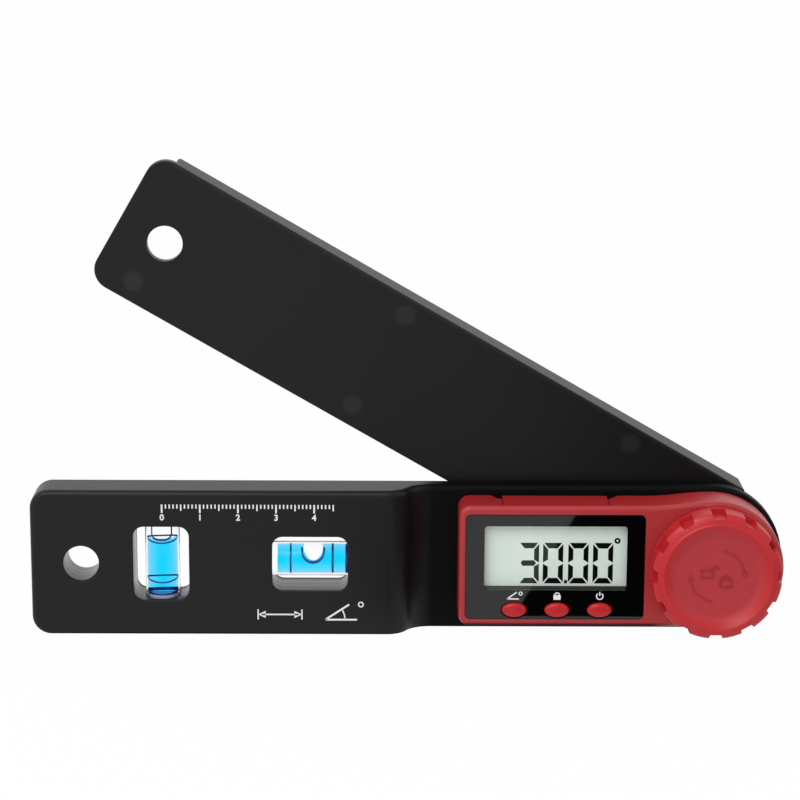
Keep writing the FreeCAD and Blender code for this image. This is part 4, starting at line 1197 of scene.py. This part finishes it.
class StageSettings(bpy.types.PropertyGroup):
    elevation: bpy.props.FloatProperty(
        name="Camera elevation", description="How far the camera looks down",
        default=math.radians(13.11), subtype="ANGLE",
    )
    turn: bpy.props.FloatProperty(
        name="Camera turn", description="How far the camera stands to the right",
        default=math.radians(-0.45), subtype="ANGLE",
    )
    roll: bpy.props.FloatProperty(
        name="Camera roll", description="How far the camera leans",
        default=math.radians(0.31), subtype="ANGLE",
    )
    distance: bpy.props.FloatProperty(
        name="Camera distance", description="From the camera to the point it looks at",
        default=672.2 * MM, unit="LENGTH",
    )
    aim: bpy.props.FloatVectorProperty(
        name="Camera aim", description="The point that the camera looks at",
        default=(-82.73 * MM, 2.5 * MM, 61.51 * MM), subtype="TRANSLATION",
    )
    lens: bpy.props.FloatProperty(
        name="Lens", description="Focal length on a 36 mm wide sensor, in mm",
        default=SENSOR * FOCAL_PIXELS / FRAME_PIXELS,
    )
    fill: bpy.props.FloatProperty(
        name="Fill", description="Strength of the white surround as a light", default=0.6
    )
    key: bpy.props.FloatProperty(
        name="Key", description="Power of the large soft lamp", default=6.5, unit="POWER"
    )


def looking_rays(tree):
    """1 for camera, transmission and glossy rays, and 0 for the rest."""
    path = add_node(tree, "LightPath").outputs
    looks = path["Is Camera Ray"]
    for kind in ("Is Transmission Ray", "Is Glossy Ray"):
        looks = add_node(tree, "Math", {0: looks, 1: path[kind]}, operation="MAXIMUM")
    return looks


def card(name, corners, height):
    """A card that only reflections show, flat over the floor and upright at its far end."""
    shape = bmesh.new()
    face = shape.faces.new([shape.verts.new((x * MM, y * MM, height)) for x, y in corners])
    far = min(face.edges, key=lambda edge: sum(v.co.y for v in edge.verts))
    upright = bmesh.ops.extrude_edge_only(shape, edges=[far])["geom"]
    raised = [v for v in upright if isinstance(v, bmesh.types.BMVert)]
    bmesh.ops.translate(shape, verts=raised, vec=(0, 0, CARD_TALL))
    # black paper: so dark that it shows only as the lack of the white surround
    material, tree = new_material(name)
    light = add_node(tree, "Emission", {"Color": linear("#050505"), "Strength": 1.0})
    add_node(tree, "OutputMaterial", {"Surface": light})
    piece = new_object(name, shape, material)
    for kind in ("camera", "diffuse", "transmission", "shadow", "volume_scatter"):
        setattr(piece, "visible_" + kind, False)


def white_surround(fill):
    """A world that looks white, and lights the object with `fill` of that."""
    world = bpy.data.worlds.new("white_surround")
    world.use_nodes = True
    tree = world.node_tree
    tree.nodes.clear()
    strength = add_node(tree, "MapRange", {0: looking_rays(tree), 3: fill, 4: 1.0})
    surround = add_node(tree, "Background", {"Color": (1, 1, 1, 1), "Strength": strength})
    add_node(tree, "OutputWorld", {"Surface": surround})
    return world


def paper():
    # matt white paper: looks nearly white by itself, and its lit share holds a soft shadow
    material, tree = new_material("white_paper_floor")
    diffuse = add_node(tree, "BsdfDiffuse", {"Color": linear("#f4f4f4")})
    glow = add_node(tree, "Emission", {"Color": (1, 1, 1, 1), "Strength": 1.0})
    share = add_node(tree, "Math", {0: looking_rays(tree), 1: FLOOR_GLOW}, operation="MULTIPLY")
    both = add_node(tree, "MixShader", {0: share, 1: diffuse, 2: glow})
    add_node(tree, "OutputMaterial", {"Surface": both})
    return material


def soft_lamp(name, power, place, target, size):
    data = bpy.data.lights.new(name, "AREA")
    data.shape = "RECTANGLE"
    data.size, data.size_y = size
    data.energy = power
    lamp = add_object(name, data)
    lamp.location = place
    lamp.rotation_euler = (Vector(target) - Vector(place)).to_track_quat("-Z", "Y").to_euler()


def place_camera(settings):
    """A camera that looks at the aim from the settings' turn, elevation and distance."""
    back = Vector((
        math.sin(settings.turn) * math.cos(settings.elevation),
        -math.cos(settings.turn) * math.cos(settings.elevation),
        math.sin(settings.elevation),
    ))
    right = (-back).cross(Vector((0, 0, 1))).normalized()
    up = right.cross(-back)
    across, along = math.cos(settings.roll), math.sin(settings.roll)
    columns = right * across + up * along, up * across - right * along, back
    data = bpy.data.cameras.new("camera")
    data.lens = settings.lens
    data.sensor_width = SENSOR
    data.clip_start = 0.01
    camera = add_object("camera", data)
    camera.matrix_world = (
        Matrix.Translation(Vector(settings.aim) + back * settings.distance)
        @ Matrix(columns).transposed().to_4x4()
    )
    return camera


class ANGLEFINDER_OT_stage(bpy.types.Operator):
    """Pale floor, white surround, black cards, soft lamp and the camera"""

    bl_idname = "angle_finder.stage"
    bl_label = "Stage"

    def execute(self, context):
        settings = context.scene.angle_finder_stage
        scene = context.scene
        scene.view_settings.view_transform = "Standard"
        scene.world = white_surround(settings.fill)
        ground = CAD_BOX[0][2]
        shape = bmesh.new()
        bmesh.ops.create_grid(shape, x_segments=1, y_segments=1, size=FLOOR_HALF)
        floor = new_object(
            "floor", shape, paper(), Matrix.Translation((0, 0, ground - FLOOR_GAP * MM))
        )
        for name, corners in CARDS.items():
            card(name, corners, ground - CARD_GAP * MM)
        soft_lamp("key_lamp", settings.key, **KEY_LAMP)
        scene.camera = place_camera(settings)
        return {"FINISHED"}


class ANGLEFINDER_PT_panel(bpy.types.Panel):
    bl_label = "Angle finder"
    bl_idname = "ANGLEFINDER_PT_panel"
    bl_space_type = "VIEW_3D"
    bl_region_type = "UI"
    bl_category = "Angle finder"

    def draw(self, context):
        for operator in OPERATORS:
            self.layout.operator(operator.bl_idname)


GROUPS = (
    ("angle_finder_arms", ArmSettings),
    ("angle_finder_vials", VialSettings),
    ("angle_finder_housing", HousingSettings),
    ("angle_finder_display", DisplaySettings),
    ("angle_finder_knob", KnobSettings),
    ("angle_finder_stage", StageSettings),
)
OPERATORS = (
    ANGLEFINDER_OT_lower_arm, ANGLEFINDER_OT_upper_arm, ANGLEFINDER_OT_vials,
    ANGLEFINDER_OT_housing, ANGLEFINDER_OT_display, ANGLEFINDER_OT_buttons,
    ANGLEFINDER_OT_knob, ANGLEFINDER_OT_pivot, ANGLEFINDER_OT_inside, ANGLEFINDER_OT_stage,
)


def register():
    for _, group in GROUPS:
        bpy.utils.register_class(group)
    for operator in OPERATORS:
        bpy.utils.register_class(operator)
    bpy.utils.register_class(ANGLEFINDER_PT_panel)
    for name, group in GROUPS:
        setattr(bpy.types.Scene, name, bpy.props.PointerProperty(type=group))


def unregister():
    for name, _ in GROUPS:
        delattr(bpy.types.Scene, name)
    bpy.utils.unregister_class(ANGLEFINDER_PT_panel)
    for operator in reversed(OPERATORS):
        bpy.utils.unregister_class(operator)
    for _, group in reversed(GROUPS):
        bpy.utils.unregister_class(group)


def main():
    register()
    for operator in OPERATORS:
        family, name = operator.bl_idname.split(".")
        getattr(getattr(bpy.ops, family), name)()


if __name__ == "__main__":
    main()
